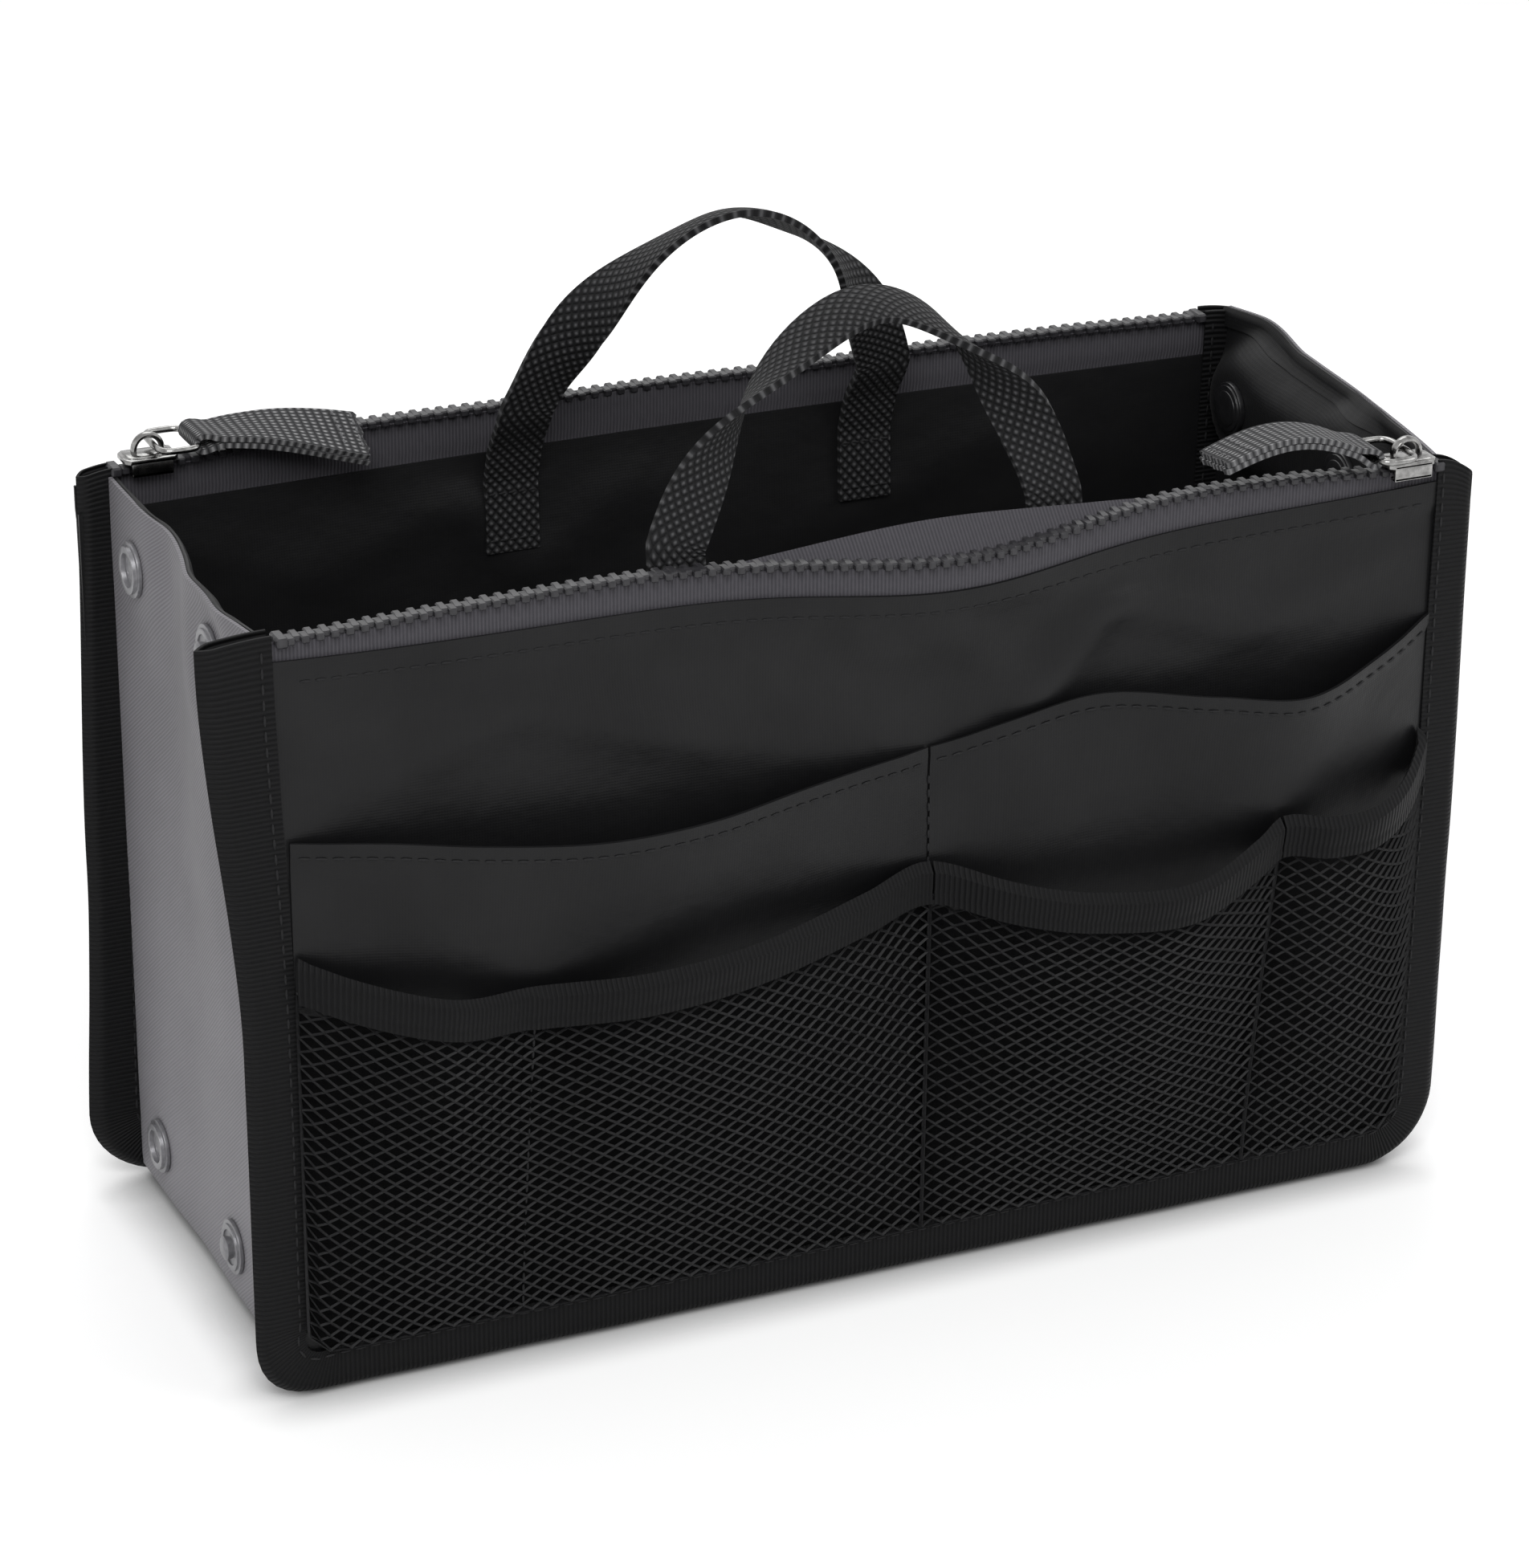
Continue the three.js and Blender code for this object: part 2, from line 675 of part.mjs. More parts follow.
// One layer of the strip, from one depth to another behind its outer face.
function gussetLayer(outerDepth, innerDepth) {
  const stations = gussetStations();
  const foldFront = snapMiddle - foldHalf;
  const foldRear = snapMiddle + foldHalf;
  const rows = [-gussetHalf, studPlace, foldFront, snapMiddle, foldRear, socketPlace, gussetHalf];
  const place = (s, t, face) => {
    const station = stations[Math.round(s * (stations.length - 1))];
    const y = rows[Math.round(t * (rows.length - 1))];
    const lift = Math.min(Math.max((station.z - gussetCornerRadius) / foldRise, 0), 1);
    const fold = foldDepth * lift * Math.max(1 - Math.abs(y - snapMiddle) / foldHalf, 0);
    const depth = fold + (face ? outerDepth : innerDepth);
    const sag = topDip * (1 - (y / gussetHalf) ** 2) + clearance;
    const top = s === 0 || s === 1 ? sag : 0;
    return [station.x - depth * station.nx, y, station.z - depth * station.nz - top];
  };
  return thickSheet(gridCells(stations.length - 1, rows.length - 1), place);
}

const snapPlaces = [];
for (const side of [-1, 1]) {
  for (const end of [-1, 1]) {
    const y = end < 0 ? studPlace : socketPlace;
    snapPlaces.push({ side, end, level: "top", y, z: snapTop });
    snapPlaces.push({ side, end, level: "bottom", y, z: snapBottom });
  }
}

function piercedLayer(outerDepth, innerDepth) {
  let layer = toSolid(gussetLayer(outerDepth, innerDepth));
  const radius = snapPostRadius + clearance;
  for (const { side, y, z } of snapPlaces) {
    const hole = new THREE.CylinderGeometry(radius, radius, 4 * innerDepth, roundSteps);
    hole.rotateZ(Math.PI / 2);
    hole.translate(side * gussetSide, y, z);
    layer = layer.subtract(toSolid(hole));
  }
  return fromSolid(layer);
}

function turned(profile) {
  const points = profile.map(([radius, height]) => new THREE.Vector2(radius, height));
  return closedGeometry(new THREE.LatheGeometry(points, roundSteps));
}

// Both halves stand on the outer face of the strip, with a post through both layers into a cap.
const stripStack = gussetThickness + clearance + liningThickness;
const capSeat = -stripStack - clearance;
const postEnd = capSeat - snapPostReach;
const snapSeat = clearance;
const snapPlate = snapSeat + snapFlange;

function socketGeometry() {
  const rim = snapSeat + snapRingHeight;
  return turned([
    [0, postEnd],
    [snapPostRadius, postEnd],
    [snapPostRadius, snapSeat],
    [snapRadius, snapSeat],
    [snapRadius, snapPlate],
    [snapRadius * 0.8, rim],
    [snapRadius * 0.55, rim],
    [studRadius + clearance, snapPlate],
    [0, snapPlate],
  ]);
}

function studGeometry() {
  const tip = snapPlate + studHeight;
  return turned([
    [0, postEnd],
    [snapPostRadius, postEnd],
    [snapPostRadius, snapSeat],
    [snapRadius, snapSeat],
    [snapRadius, snapPlate],
    [studRadius, snapPlate],
    [studRadius, tip - studRadius * 0.3],
    [studRadius * 0.7, tip],
    [0, tip],
  ]);
}

function capGeometry() {
  const holeRadius = snapPostRadius + clearance;
  const holeEnd = postEnd - clearance;
  const crown = capSeat - snapCapHeight;
  return turned([
    [0, crown],
    [snapRadius * 0.6, crown + snapCapHeight * 0.15],
    [snapRadius, capSeat - snapCapHeight * 0.3],
    [snapRadius, capSeat],
    [holeRadius, capSeat],
    [holeRadius, holeEnd],
    [0, holeEnd],
  ]);
}

const front = panelGroup("front");
front.position.y = -panelSpacing / 2;
addSlipPockets(front, ["front_pocket_left", "front_pocket_right"], pocketDivider, slipMouth, slipDistance);
addNetPockets(front);
organizer.add(front);

const rear = panelGroup("rear");
rear.position.y = panelSpacing / 2;
rear.rotation.z = Math.PI;
addSlipPockets(rear, ["rear_pocket_right", "rear_pocket_left"], 0, () => rearMouth, rearDistance);
organizer.add(rear);

addMesh(organizer, "gusset_shell", piercedLayer(0, gussetThickness), "greyStrip");
const liningDepth = gussetThickness + clearance;
addMesh(organizer, "gusset_lining", piercedLayer(liningDepth, stripStack), "lining");

for (const { side, end, level, y, z } of snapPlaces) {
  const snap = new THREE.Group();
  const sideName = side < 0 ? "left" : "right";
  const half = end < 0 ? "stud" : "socket";
  const shape = end < 0 ? studGeometry() : socketGeometry();
  addMesh(snap, `${half}_${sideName}_${level}`, shape, "snapGrey");
  addMesh(snap, `${half}_cap_${sideName}_${level}`, capGeometry(), "snapBlack");
  snap.position.set(side * gussetSide, y, z);
  snap.rotation.z = (-side * Math.PI) / 2;
  organizer.add(snap);
}

export default organizer;
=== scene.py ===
import math

import bpy
import numpy as np
from mathutils import Matrix, Vector


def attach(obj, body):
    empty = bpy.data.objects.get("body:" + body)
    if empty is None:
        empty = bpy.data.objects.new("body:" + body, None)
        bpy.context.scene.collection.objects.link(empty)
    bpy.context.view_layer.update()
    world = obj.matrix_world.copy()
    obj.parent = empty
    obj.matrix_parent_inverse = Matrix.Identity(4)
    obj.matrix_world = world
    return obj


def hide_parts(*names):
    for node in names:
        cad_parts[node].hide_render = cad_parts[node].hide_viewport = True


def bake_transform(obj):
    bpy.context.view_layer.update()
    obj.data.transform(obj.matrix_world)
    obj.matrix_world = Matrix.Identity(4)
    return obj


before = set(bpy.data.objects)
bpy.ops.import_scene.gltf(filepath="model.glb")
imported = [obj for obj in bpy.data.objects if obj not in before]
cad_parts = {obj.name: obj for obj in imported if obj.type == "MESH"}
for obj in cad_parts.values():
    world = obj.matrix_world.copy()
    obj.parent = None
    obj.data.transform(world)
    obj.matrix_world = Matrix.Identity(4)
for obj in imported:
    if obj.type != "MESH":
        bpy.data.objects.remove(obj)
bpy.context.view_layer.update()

mm = 0.001  # the shapes below are written in millimetres
print("frame loaded,", len(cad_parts), "nodes")


# camera

shot = {
    "target": (0, 0, 87.5),
    "azimuth": -24.6,
    "elevation": 23.81,
    "roll": 0.67,
    "distance": 1140,
    "shift": (2.1, -8.53),
    "lens": 116.38,
}


def placeCamera():
    turn = math.radians(shot["azimuth"])
    rise = math.radians(shot["elevation"])
    roll = math.radians(shot["roll"])
    back = Vector((math.sin(turn) * math.cos(rise), -math.cos(turn) * math.cos(rise), math.sin(rise)))
    right = Vector((0, 0, 1)).cross(back).normalized()
    up = back.cross(right)
    tilted = right * math.cos(roll) + up * math.sin(roll)
    up = up * math.cos(roll) - right * math.sin(roll)
    across, along = shot["shift"]
    spot = Vector(shot["target"]) - tilted * across - up * along + back * shot["distance"]
    data = bpy.data.cameras.new("photoCamera")
    data.lens = shot["lens"]
    data.clip_start = 0.05
    camera = bpy.data.objects.new("photoCamera", data)
    bpy.context.collection.objects.link(camera)
    axes = Matrix((tilted, up, back)).transposed().to_4x4()
    camera.matrix_world = Matrix.Translation(spot * mm) @ axes
    bpy.context.scene.camera = camera


placeCamera()


# small tools

def smooth(t):
    t = np.clip(t, 0, 1)
    return t * t * (3 - 2 * t)


def quarterWave(t):
    return np.sin(np.clip(t, -1, 1) * math.pi / 2)


def curveThrough(x, knots, values):
    knots = np.asarray(knots, float)
    values = np.asarray(values, float)
    slopes = np.gradient(values, knots)
    k = np.clip(np.searchsorted(knots, x) - 1, 0, len(knots) - 2)
    span = knots[k + 1] - knots[k]
    t = np.clip((x - knots[k]) / span, 0, 1)
    a = (1 + 2 * t) * (1 - t) ** 2
    b = t * (1 - t) ** 2
    c = t * t * (3 - 2 * t)
    d = t * t * (t - 1)
    return a * values[k] + b * span * slopes[k] + c * values[k + 1] + d * span * slopes[k + 1]


def ripple(a, b, scale, seed):
    total = 0
    for k in range(5):
        turn = seed * 1.7 + k * 2.39
        wave = (a * math.cos(turn) + b * math.sin(turn)) * (1 + 0.45 * k) / scale
        total = total + np.sin(wave + seed * 3.1 + k * 1.3) / (1 + 0.6 * k)
    return total / 2.4


def switchMode(mode):
    bpy.ops.object.mode_set(mode=mode)


def deselectAll():
    if bpy.context.mode != "OBJECT":
        switchMode("OBJECT")
    bpy.ops.object.select_all(action="DESELECT")


def soloSelect(piece):
    deselectAll()
    piece.select_set(True)
    bpy.context.view_layer.objects.active = piece


def addBlock(size, spot):
    deselectAll()
    bpy.ops.mesh.primitive_cube_add(size=1, location=spot)
    block = bpy.context.object
    switchMode("EDIT")
    bpy.ops.mesh.select_all(action="SELECT")
    bpy.ops.transform.resize(value=size, center_override=spot)
    switchMode("OBJECT")
    bpy.ops.object.transform_apply(location=True, rotation=True, scale=True)
    return block


def pickFaces(model, test):
    switchMode("EDIT")
    bpy.ops.mesh.select_mode(type="FACE")
    bpy.ops.mesh.select_all(action="DESELECT")
    switchMode("OBJECT")
    for face in model.data.polygons:
        face.select = bool(test(face))
    switchMode("EDIT")


def pushFace(move):
    bpy.ops.mesh.extrude_region_move(TRANSFORM_OT_translate={"value": move})


def applyModifier(piece, kind, **values):
    soloSelect(piece)
    modifier = piece.modifiers.new(kind.lower(), kind)
    for key, value in values.items():
        setattr(modifier, key, value)
    bpy.ops.object.modifier_apply(modifier=modifier.name)


def readPoints(piece):
    points = np.empty(len(piece.data.vertices) * 3)
    piece.data.vertices.foreach_get("co", points)
    return points.reshape(-1, 3)


def writePoints(piece, points):
    piece.data.vertices.foreach_set("co", np.asarray(points, float).ravel())
    piece.data.update()


def takeShape(model):
    points = readPoints(model)
    faces = [list(face.vertices) for face in model.data.polygons]
    bpy.data.objects.remove(model)
    return points, faces


def startGrid(name, columns, rows):
    deselectAll()
    bpy.ops.mesh.primitive_grid_add(x_subdivisions=columns, y_subdivisions=rows, size=1)
    piece = bpy.context.object
    piece.name = piece.data.name = name
    return piece


def gridSheet(name, columns, rows, place, flat):
    # a grid is the cut cloth; place moves each of its points, flat gives its size for the weave
    piece = startGrid(name, columns, rows)
    cut = readPoints(piece)
    shaped = np.stack(place(cut[:, 0] + 0.5, cut[:, 1] + 0.5), axis=1)
    writePoints(piece, shaped * mm)
    layer = piece.data.uv_layers[0]
    uv = np.empty(len(layer.data) * 2)
    layer.data.foreach_get("uv", uv)
    layer.data.foreach_set("uv", (uv.reshape(-1, 2) * np.array(flat)).ravel())
    return piece


def thicken(piece, thickness):
    applyModifier(piece, "SOLIDIFY", thickness=thickness * mm, offset=-1, use_even_offset=True)


def easeEdges(piece, width, angle):
    limit = math.radians(angle)
    applyModifier(piece, "BEVEL", width=width, segments=2, limit_method="ANGLE", angle_limit=limit)


def finishPiece(piece, finish, body, nodes=(), angle=40):
    piece.data.materials.clear()
    piece.data.materials.append(finishes[finish])
    soloSelect(piece)
    bpy.ops.object.shade_smooth_by_angle(angle=math.radians(angle))
    if body:
        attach(piece, body)
    if nodes:
        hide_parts(*nodes)
    return piece


# materials

def startMaterial(name, roughness, metallic=0.0):
    material = bpy.data.materials.new(name)
    material.use_nodes = True
    tree = material.node_tree
    shader = tree.nodes["Principled BSDF"]
    shader.inputs["Roughness"].default_value = roughness
    shader.inputs["Metallic"].default_value = metallic
    return material, tree, shader


def coordinatesOf(tree, kind):
    return tree.nodes.new("ShaderNodeTexCoord").outputs[kind]


def stripesOn(tree, coordinates, along, across):
    # soft stripes from 0 to 1, with that many to a millimetre along and across the cloth
    dot = tree.nodes.new("ShaderNodeVectorMath")
    dot.operation = "DOT_PRODUCT"
    dot.inputs[1].default_value = (along * 2 * math.pi, across * 2 * math.pi, 0)
    tree.links.new(coordinates, dot.inputs[0])
    wave = mathOn(tree, "SINE", dot.outputs["Value"], 0)
    return mathOn(tree, "MULTIPLY", mathOn(tree, "ADD", wave, 1), 0.5)


def blendOf(tree, first, share, second):
    part = mathOn(tree, "MULTIPLY", first, share)
    return mathOn(tree, "ADD", part, mathOn(tree, "MULTIPLY", second, 1 - share))


def noiseOn(tree, coordinates, size, detail=3.0):
    noise = tree.nodes.new("ShaderNodeTexNoise")
    noise.inputs["Scale"].default_value = 1 / size
    noise.inputs["Detail"].default_value = detail
    tree.links.new(coordinates, noise.inputs["Vector"])
    return noise.outputs["Fac"]


def mathOn(tree, operation, first, second):
    node = tree.nodes.new("ShaderNodeMath")
    node.operation = operation
    for socket, value in zip(node.inputs, (first, second)):
        if isinstance(value, (int, float)):
            socket.default_value = value
        else:
            tree.links.new(value, socket)
    return node.outputs[0]


def colourBetween(tree, shader, factor, dark, light, low=0.3, high=0.7):
    ramp = tree.nodes.new("ShaderNodeValToRGB")
    stops = ramp.color_ramp.elements
    for stop, position, colour in zip(stops, (low, high), (dark, light)):
        stop.position = position
        stop.color = (*colour, 1)
    tree.links.new(factor, ramp.inputs["Fac"])
    tree.links.new(ramp.outputs["Color"], shader.inputs["Base Color"])
    return stops


def spanOn(tree, value, low, high, start=0, stop=1):
    span = tree.nodes.new("ShaderNodeMapRange")
    for key, number in (("From Min", start), ("From Max", stop), ("To Min", low), ("To Max", high)):
        span.inputs[key].default_value = number
    tree.links.new(value, span.inputs["Value"])
    return span.outputs["Result"]


def roughBetween(tree, shader, factor, low, high):
    tree.links.new(spanOn(tree, factor, low, high), shader.inputs["Roughness"])


def setGloss(shader, sheen, gloss):
    shader.inputs["Sheen Weight"].default_value = sheen
    shader.inputs["Specular IOR Level"].default_value = gloss


def bumpFrom(tree, shader, height, depth, strength=1.0, under=None):
    bump = tree.nodes.new("ShaderNodeBump")
    bump.inputs["Strength"].default_value = strength
    bump.inputs["Distance"].default_value = depth * mm
    tree.links.new(height, bump.inputs["Height"])
    if under is not None:
        tree.links.new(under, bump.inputs["Normal"])
    tree.links.new(bump.outputs["Normal"], shader.inputs["Normal"])
    return bump.outputs["Normal"]


def clothNylon(name, dark, light, roughness, sheen, gloss=0.2):
    material, tree, shader = startMaterial(name, roughness)
    uv = coordinatesOf(tree, "UV")
    broad = noiseOn(tree, uv, 26, 4)
    colourBetween(tree, shader, broad, dark, light)
    roughBetween(tree, shader, broad, roughness + 0.08, roughness - 0.08)
    weft = stripesOn(tree, uv, 1.6, 0)
    warp = stripesOn(tree, uv, 0, 1.6)
    weave = mathOn(tree, "MULTIPLY", weft, warp)
    under = bumpFrom(tree, shader, noiseOn(tree, uv, 12, 3), 1.1, 0.4)
    bumpFrom(tree, shader, weave, 0.05, 0.4, under)
    shader.inputs["Sheen Roughness"].default_value = 0.4
    setGloss(shader, sheen, gloss)
    return material


def clothTwill(name, dark, light):
    material, tree, shader = startMaterial(name, 0.55)
    uv = coordinatesOf(tree, "UV")
    line = stripesOn(tree, uv, 1.05, 0.85)
    cloud = noiseOn(tree, uv, 30, 3)
    grain = noiseOn(tree, uv, 0.9, 2)
    height = tree.nodes.new("ShaderNodeSeparateXYZ")
    tree.links.new(coordinatesOf(tree, "Object"), height.inputs[0])
    # painted light and shade: the cloth is painted paler towards the floor and darker higher up
    paintedLightByHeight = spanOn(tree, height.outputs["Z"], 0, 0.42, 0.12, 0.02)
    mixed = mathOn(tree, "ADD", blendOf(tree, line, 0.45, cloud), paintedLightByHeight)
    colourBetween(tree, shader, mixed, dark, light, 0.2, 1.0)
    under = bumpFrom(tree, shader, line, 0.08, 0.7)
    bumpFrom(tree, shader, grain, 0.06, 0.5, under)
    setGloss(shader, 0.06, 0.25)
    return material


def ribbedTape(name, dark, light, pitch, depth):
    material, tree, shader = startMaterial(name, 0.62)
    uv = coordinatesOf(tree, "UV")
    ribs = stripesOn(tree, uv, 1 / pitch, 0)
    grain = noiseOn(tree, uv, 1.4, 3)
    mixed = blendOf(tree, ribs, 0.65, grain)
    colourBetween(tree, shader, mixed, dark, light, 0.15, 0.85)
    under = bumpFrom(tree, shader, ribs, depth, 1.0)
    bumpFrom(tree, shader, grain, 0.1, 0.5, under)
    setGloss(shader, 0.01, 0.12)
    return material


def webbingWeave(name, dark, light, pale, warp, weft):
    material, tree, shader = startMaterial(name, 0.7)
    uv = coordinatesOf(tree, "UV")
    # a knot stands where two sets of stripes cross: slanted sets give staggered rows, straight sets a grid
    warpLines = stripesOn(tree, uv, *warp)
    weftLines = stripesOn(tree, uv, *weft)
    knots = mathOn(tree, "MULTIPLY", warpLines, weftLines)
    knots = mathOn(tree, "POWER", knots, 0.6)
    fibres = noiseOn(tree, uv, 0.5, 3)
    mixed = blendOf(tree, knots, 0.8, fibres)
    stops = colourBetween(tree, shader, mixed, dark, pale, 0.15, 0.9)
    stops.new(0.55).color = (*light, 1)
    under = bumpFrom(tree, shader, knots, 0.55, 1.0)
    bumpFrom(tree, shader, fibres, 0.12, 0.6, under)
    setGloss(shader, 0.03, 0.15)
    return material


def rigidFinish(name, dark, light, roughness, metallic, grainSize, grainDepth, gloss=0.5):
    material, tree, shader = startMaterial(name, roughness, metallic)
    place = coordinatesOf(tree, "Object")
    grain = noiseOn(tree, place, grainSize * mm, 4)
    colourBetween(tree, shader, grain, dark, light)
    roughBetween(tree, shader, grain, roughness - 0.06, roughness + 0.1)
    bumpFrom(tree, shader, grain, grainDepth, 0.6)
    shader.inputs["Specular IOR Level"].default_value = gloss
    return material


finishes = {
    "nylon": clothNylon("blackNylon", (0.0045, 0.0045, 0.005), (0.009, 0.009, 0.0096), 0.42, 0.026),
    "lining": clothNylon("blackLining", (0.005, 0.005, 0.0055), (0.009, 0.009, 0.0095), 0.5, 0.02),
    # painted shade: a darker, less glossy nylon for the pocket cloth lying behind the nets, where the nets'
    # shade falls
    "paintedNetShade": clothNylon("paintedShadeNylon", (0.0018, 0.0018, 0.002), (0.004, 0.004, 0.0043), 0.6, 0.0, 0.05),
    "strip": clothTwill("greyTwill", (0.125, 0.12, 0.131), (0.26, 0.252, 0.272)),
    "binding": ribbedTape("blackGrosgrain", (0.0022, 0.0022, 0.0025), (0.0075, 0.0075, 0.008), 1.1, 0.25),
    "net": rigidFinish("netThread", (0.008, 0.008, 0.0085), (0.02, 0.02, 0.021), 0.5, 0.0, 0.8, 0.1, 0.16),
    "tape": ribbedTape("greyZipTape", (0.05, 0.048, 0.055), (0.085, 0.082, 0.092), 0.8, 0.12),
    "teeth": rigidFinish(
        "greyTeeth", (0.018, 0.0175, 0.02), (0.038, 0.037, 0.041), 0.34, 0.0, 1.5, 0.05, 0.35
    ),
    "webbing": webbingWeave(
        "handleWebbing",
        (0.005, 0.005, 0.0055), (0.021, 0.021, 0.0225), (0.085, 0.085, 0.088),
        (0.385, 0.435), (0.385, -0.435),
    ),
    "pull": webbingWeave(
        "pullWebbing",
        (0.03, 0.03, 0.032), (0.125, 0.125, 0.129), (0.42, 0.42, 0.426),
        (0.5, 0), (0, 0.85),
    ),
    "nickel": rigidFinish("brightNickel", (0.15, 0.148, 0.145), (0.36, 0.357, 0.35), 0.17, 1.0, 1.6, 0.04),
    "snap": rigidFinish("greySnap", (0.17, 0.168, 0.18), (0.25, 0.248, 0.26), 0.32, 0.3, 1.2, 0.03),
    "cap": rigidFinish("blackCap", (0.008, 0.008, 0.009), (0.016, 0.016, 0.017), 0.3, 0.0, 1.5, 0.03),
    "thread": rigidFinish(
        "blackThread", (0.004, 0.004, 0.0045), (0.014, 0.014, 0.015), 0.6, 0.0, 0.4, 0.05, 0.25
    ),
    "greyThread": rigidFinish(
        "greyThread", (0.1, 0.1, 0.105), (0.2, 0.2, 0.205), 0.6, 0.0, 0.4, 0.05, 0.25
    ),
}
print("materials made:", len(finishes))


# stitches: one is shaped, every seam is a row of copies

stitch = {"width": 0.62, "height": 0.42, "share": 0.74, "pitch": 3.4}


def shapeStitch():
    deselectAll()
    bpy.ops.mesh.primitive_uv_sphere_add(segments=6, ring_count=4, radius=0.5)
    model = bpy.context.object
    switchMode("EDIT")
    bpy.ops.mesh.select_all(action="SELECT")
    bpy.ops.transform.rotate(value=math.pi / 2, orient_axis="Y", center_override=(0, 0, 0))
    bpy.ops.transform.resize(value=(1, stitch["width"], stitch["height"]))
    switchMode("OBJECT")
    return takeShape(model)


stitchShape = shapeStitch()


def copiesAlong(name, points, faces, spots, axes):
    # spots in mm, axes hold the three directions of each copy
    count = len(points)
    allPoints = []
    allFaces = []
    for k, (spot, axis) in enumerate(zip(spots, axes)):
        allPoints.append(spot + points @ axis)
        allFaces.extend([[index + k * count for index in face] for face in faces])
    mesh = bpy.data.meshes.new(name)
    mesh.from_pydata((np.concatenate(allPoints) * mm).tolist(), [], allFaces)
    mesh.update()
    piece = bpy.data.objects.new(name, mesh)
    bpy.context.collection.objects.link(piece)
    return piece


def runAlong(path):
    steps = np.linalg.norm(np.diff(path, axis=0), axis=1)
    return np.concatenate([[0], np.cumsum(steps)])


def pointsAt(t, run, path):
    return np.stack([np.interp(t, run, path[:, k]) for k in range(3)], axis=1)


def seamRow(name, line, outward, body, pitch=stitch["pitch"], thread="thread"):
    # line holds the x, y and z of the seam, outward the way its cloth faces
    path = np.stack(line, axis=1)
    run = runAlong(path)
    count = max(int(run[-1] / pitch), 1)
    at = (np.arange(count) + 0.5) * run[-1] / count
    reach = pitch * stitch["share"] / 2
    forward = pointsAt(at + reach, run, path) - pointsAt(at - reach, run, path)
    length = np.linalg.norm(forward, axis=1, keepdims=True)
    forward = forward / length
    side = np.cross(outward, forward)
    side = side / np.linalg.norm(side, axis=1, keepdims=True)
    axes = np.stack([forward * length, side, np.cross(forward, side)], axis=1)
    row = copiesAlong(name, *stitchShape, pointsAt(at, run, path), axes)
    return finishPiece(row, thread, body)


# panel shape shared by all its pieces, and where its zip runs

zipper = {
    "half": 133,
    "base": 171.8,
    "pitch": 3.2,
    "tooth": (2.5, 2.3, 1.6),
    "toothOut": 1.35,
    "stop": 1.35,
    "stopOut": 1.2,
    "tapeLow": 158,
    "tapeOut": 0.75,
    "tapeLayer": 0.5,
    "overhang": 3,
    "ledge": 0.8,
    "sag": {"front": 1.0, "rear": 0.15},
    "sagMiddle": 16,
    "sagHalf": 37,
    "sagOut": 7.0,
    "sagDown": 5.0,
    "sagRise": 7.2,
    "sagFrom": 140,
    "sagSpan": 26,
    "lift": 1.3,
}

panel = {
    "half": 145,
    "height": 172,
    "corner": 18,
    "spacing": 54,
    "spreadLow": 0.99,
    "spreadTop": 0.998,
    "bow": {"front": -3.5, "rear": 3.5},
    "bowFrom": 100,
    "wallTop": 166.5,
    "wallTopEnds": 169.5,
    "lining": 163.5,
}


turnOf = {"front": 1, "rear": -1}  # the rear panel is the front one turned half round


def spread(z):
    low, top = panel["spreadLow"], panel["spreadTop"]
    return low + (top - low) * np.clip(z / panel["height"], 0, 1.1)


def bow(end, x, z):
    across = np.cos(np.clip(x / panel["half"], -1, 1) * math.pi / 2) ** 1.2
    return panel["bow"][end] * across * smooth((z - panel["bowFrom"]) / (panel["height"] - panel["bowFrom"]))


def panelPoint(end, x, out, z):
    turn = turnOf[end]
    deep = panel["spacing"] + out + bow(end, x, z)
    return turn * x * spread(z), -turn * deep, z + 0 * x


def facing(end):
    return np.array([0, -turnOf[end], 0])


def outlineAt(s, half, height, corner):
    # down the left side, round the lower corners, up the right side
    side = height - corner
    arc = corner * math.pi / 2
    floor = 2 * (half - corner)
    t = s * (2 * side + 2 * arc + floor)
    past = t - side - 2 * arc - floor
    first = np.clip((t - side) / arc, 0, 1) * math.pi / 2
    second = np.clip((t - side - arc - floor) / arc, 0, 1) * math.pi / 2
    turn = math.pi + first + second
    nx = np.cos(turn)
    nz = np.sin(turn)
    x = -half + corner + np.clip(t - side - arc, 0, floor) + corner * nx
    z = np.where(t < side, height - t, np.where(past > 0, corner + past, corner + corner * nz))
    return x, z, nx, nz


def outlineLength(half, height, corner):
    return 2 * (height - corner) + math.pi * corner + 2 * (half - corner)


def wallHalf(z, inset):
    corner = panel["corner"]
    low = np.clip(corner - z, 0, corner)
    return panel["half"] - inset - (corner - np.sqrt(np.maximum(corner ** 2 - low ** 2, 0)))


def sagAt(end, x):
    deep = zipper["sag"][end]
    return deep * np.exp(-((x - zipper["sagMiddle"]) / zipper["sagHalf"]) ** 2)


def sagOutAt(end, x, z):
    rise = smooth((z - zipper["sagFrom"]) / zipper["sagSpan"])
    return zipper["sagOut"] * sagAt(end, x) * rise


def wallTopAt(end, x):
    ends = np.abs(x / panel["half"]) ** 3.5
    rise = (panel["wallTopEnds"] - panel["wallTop"]) * ends
    return panel["wallTop"] + rise - (zipper["sagDown"] - 1) * sagAt(end, x)


# walls

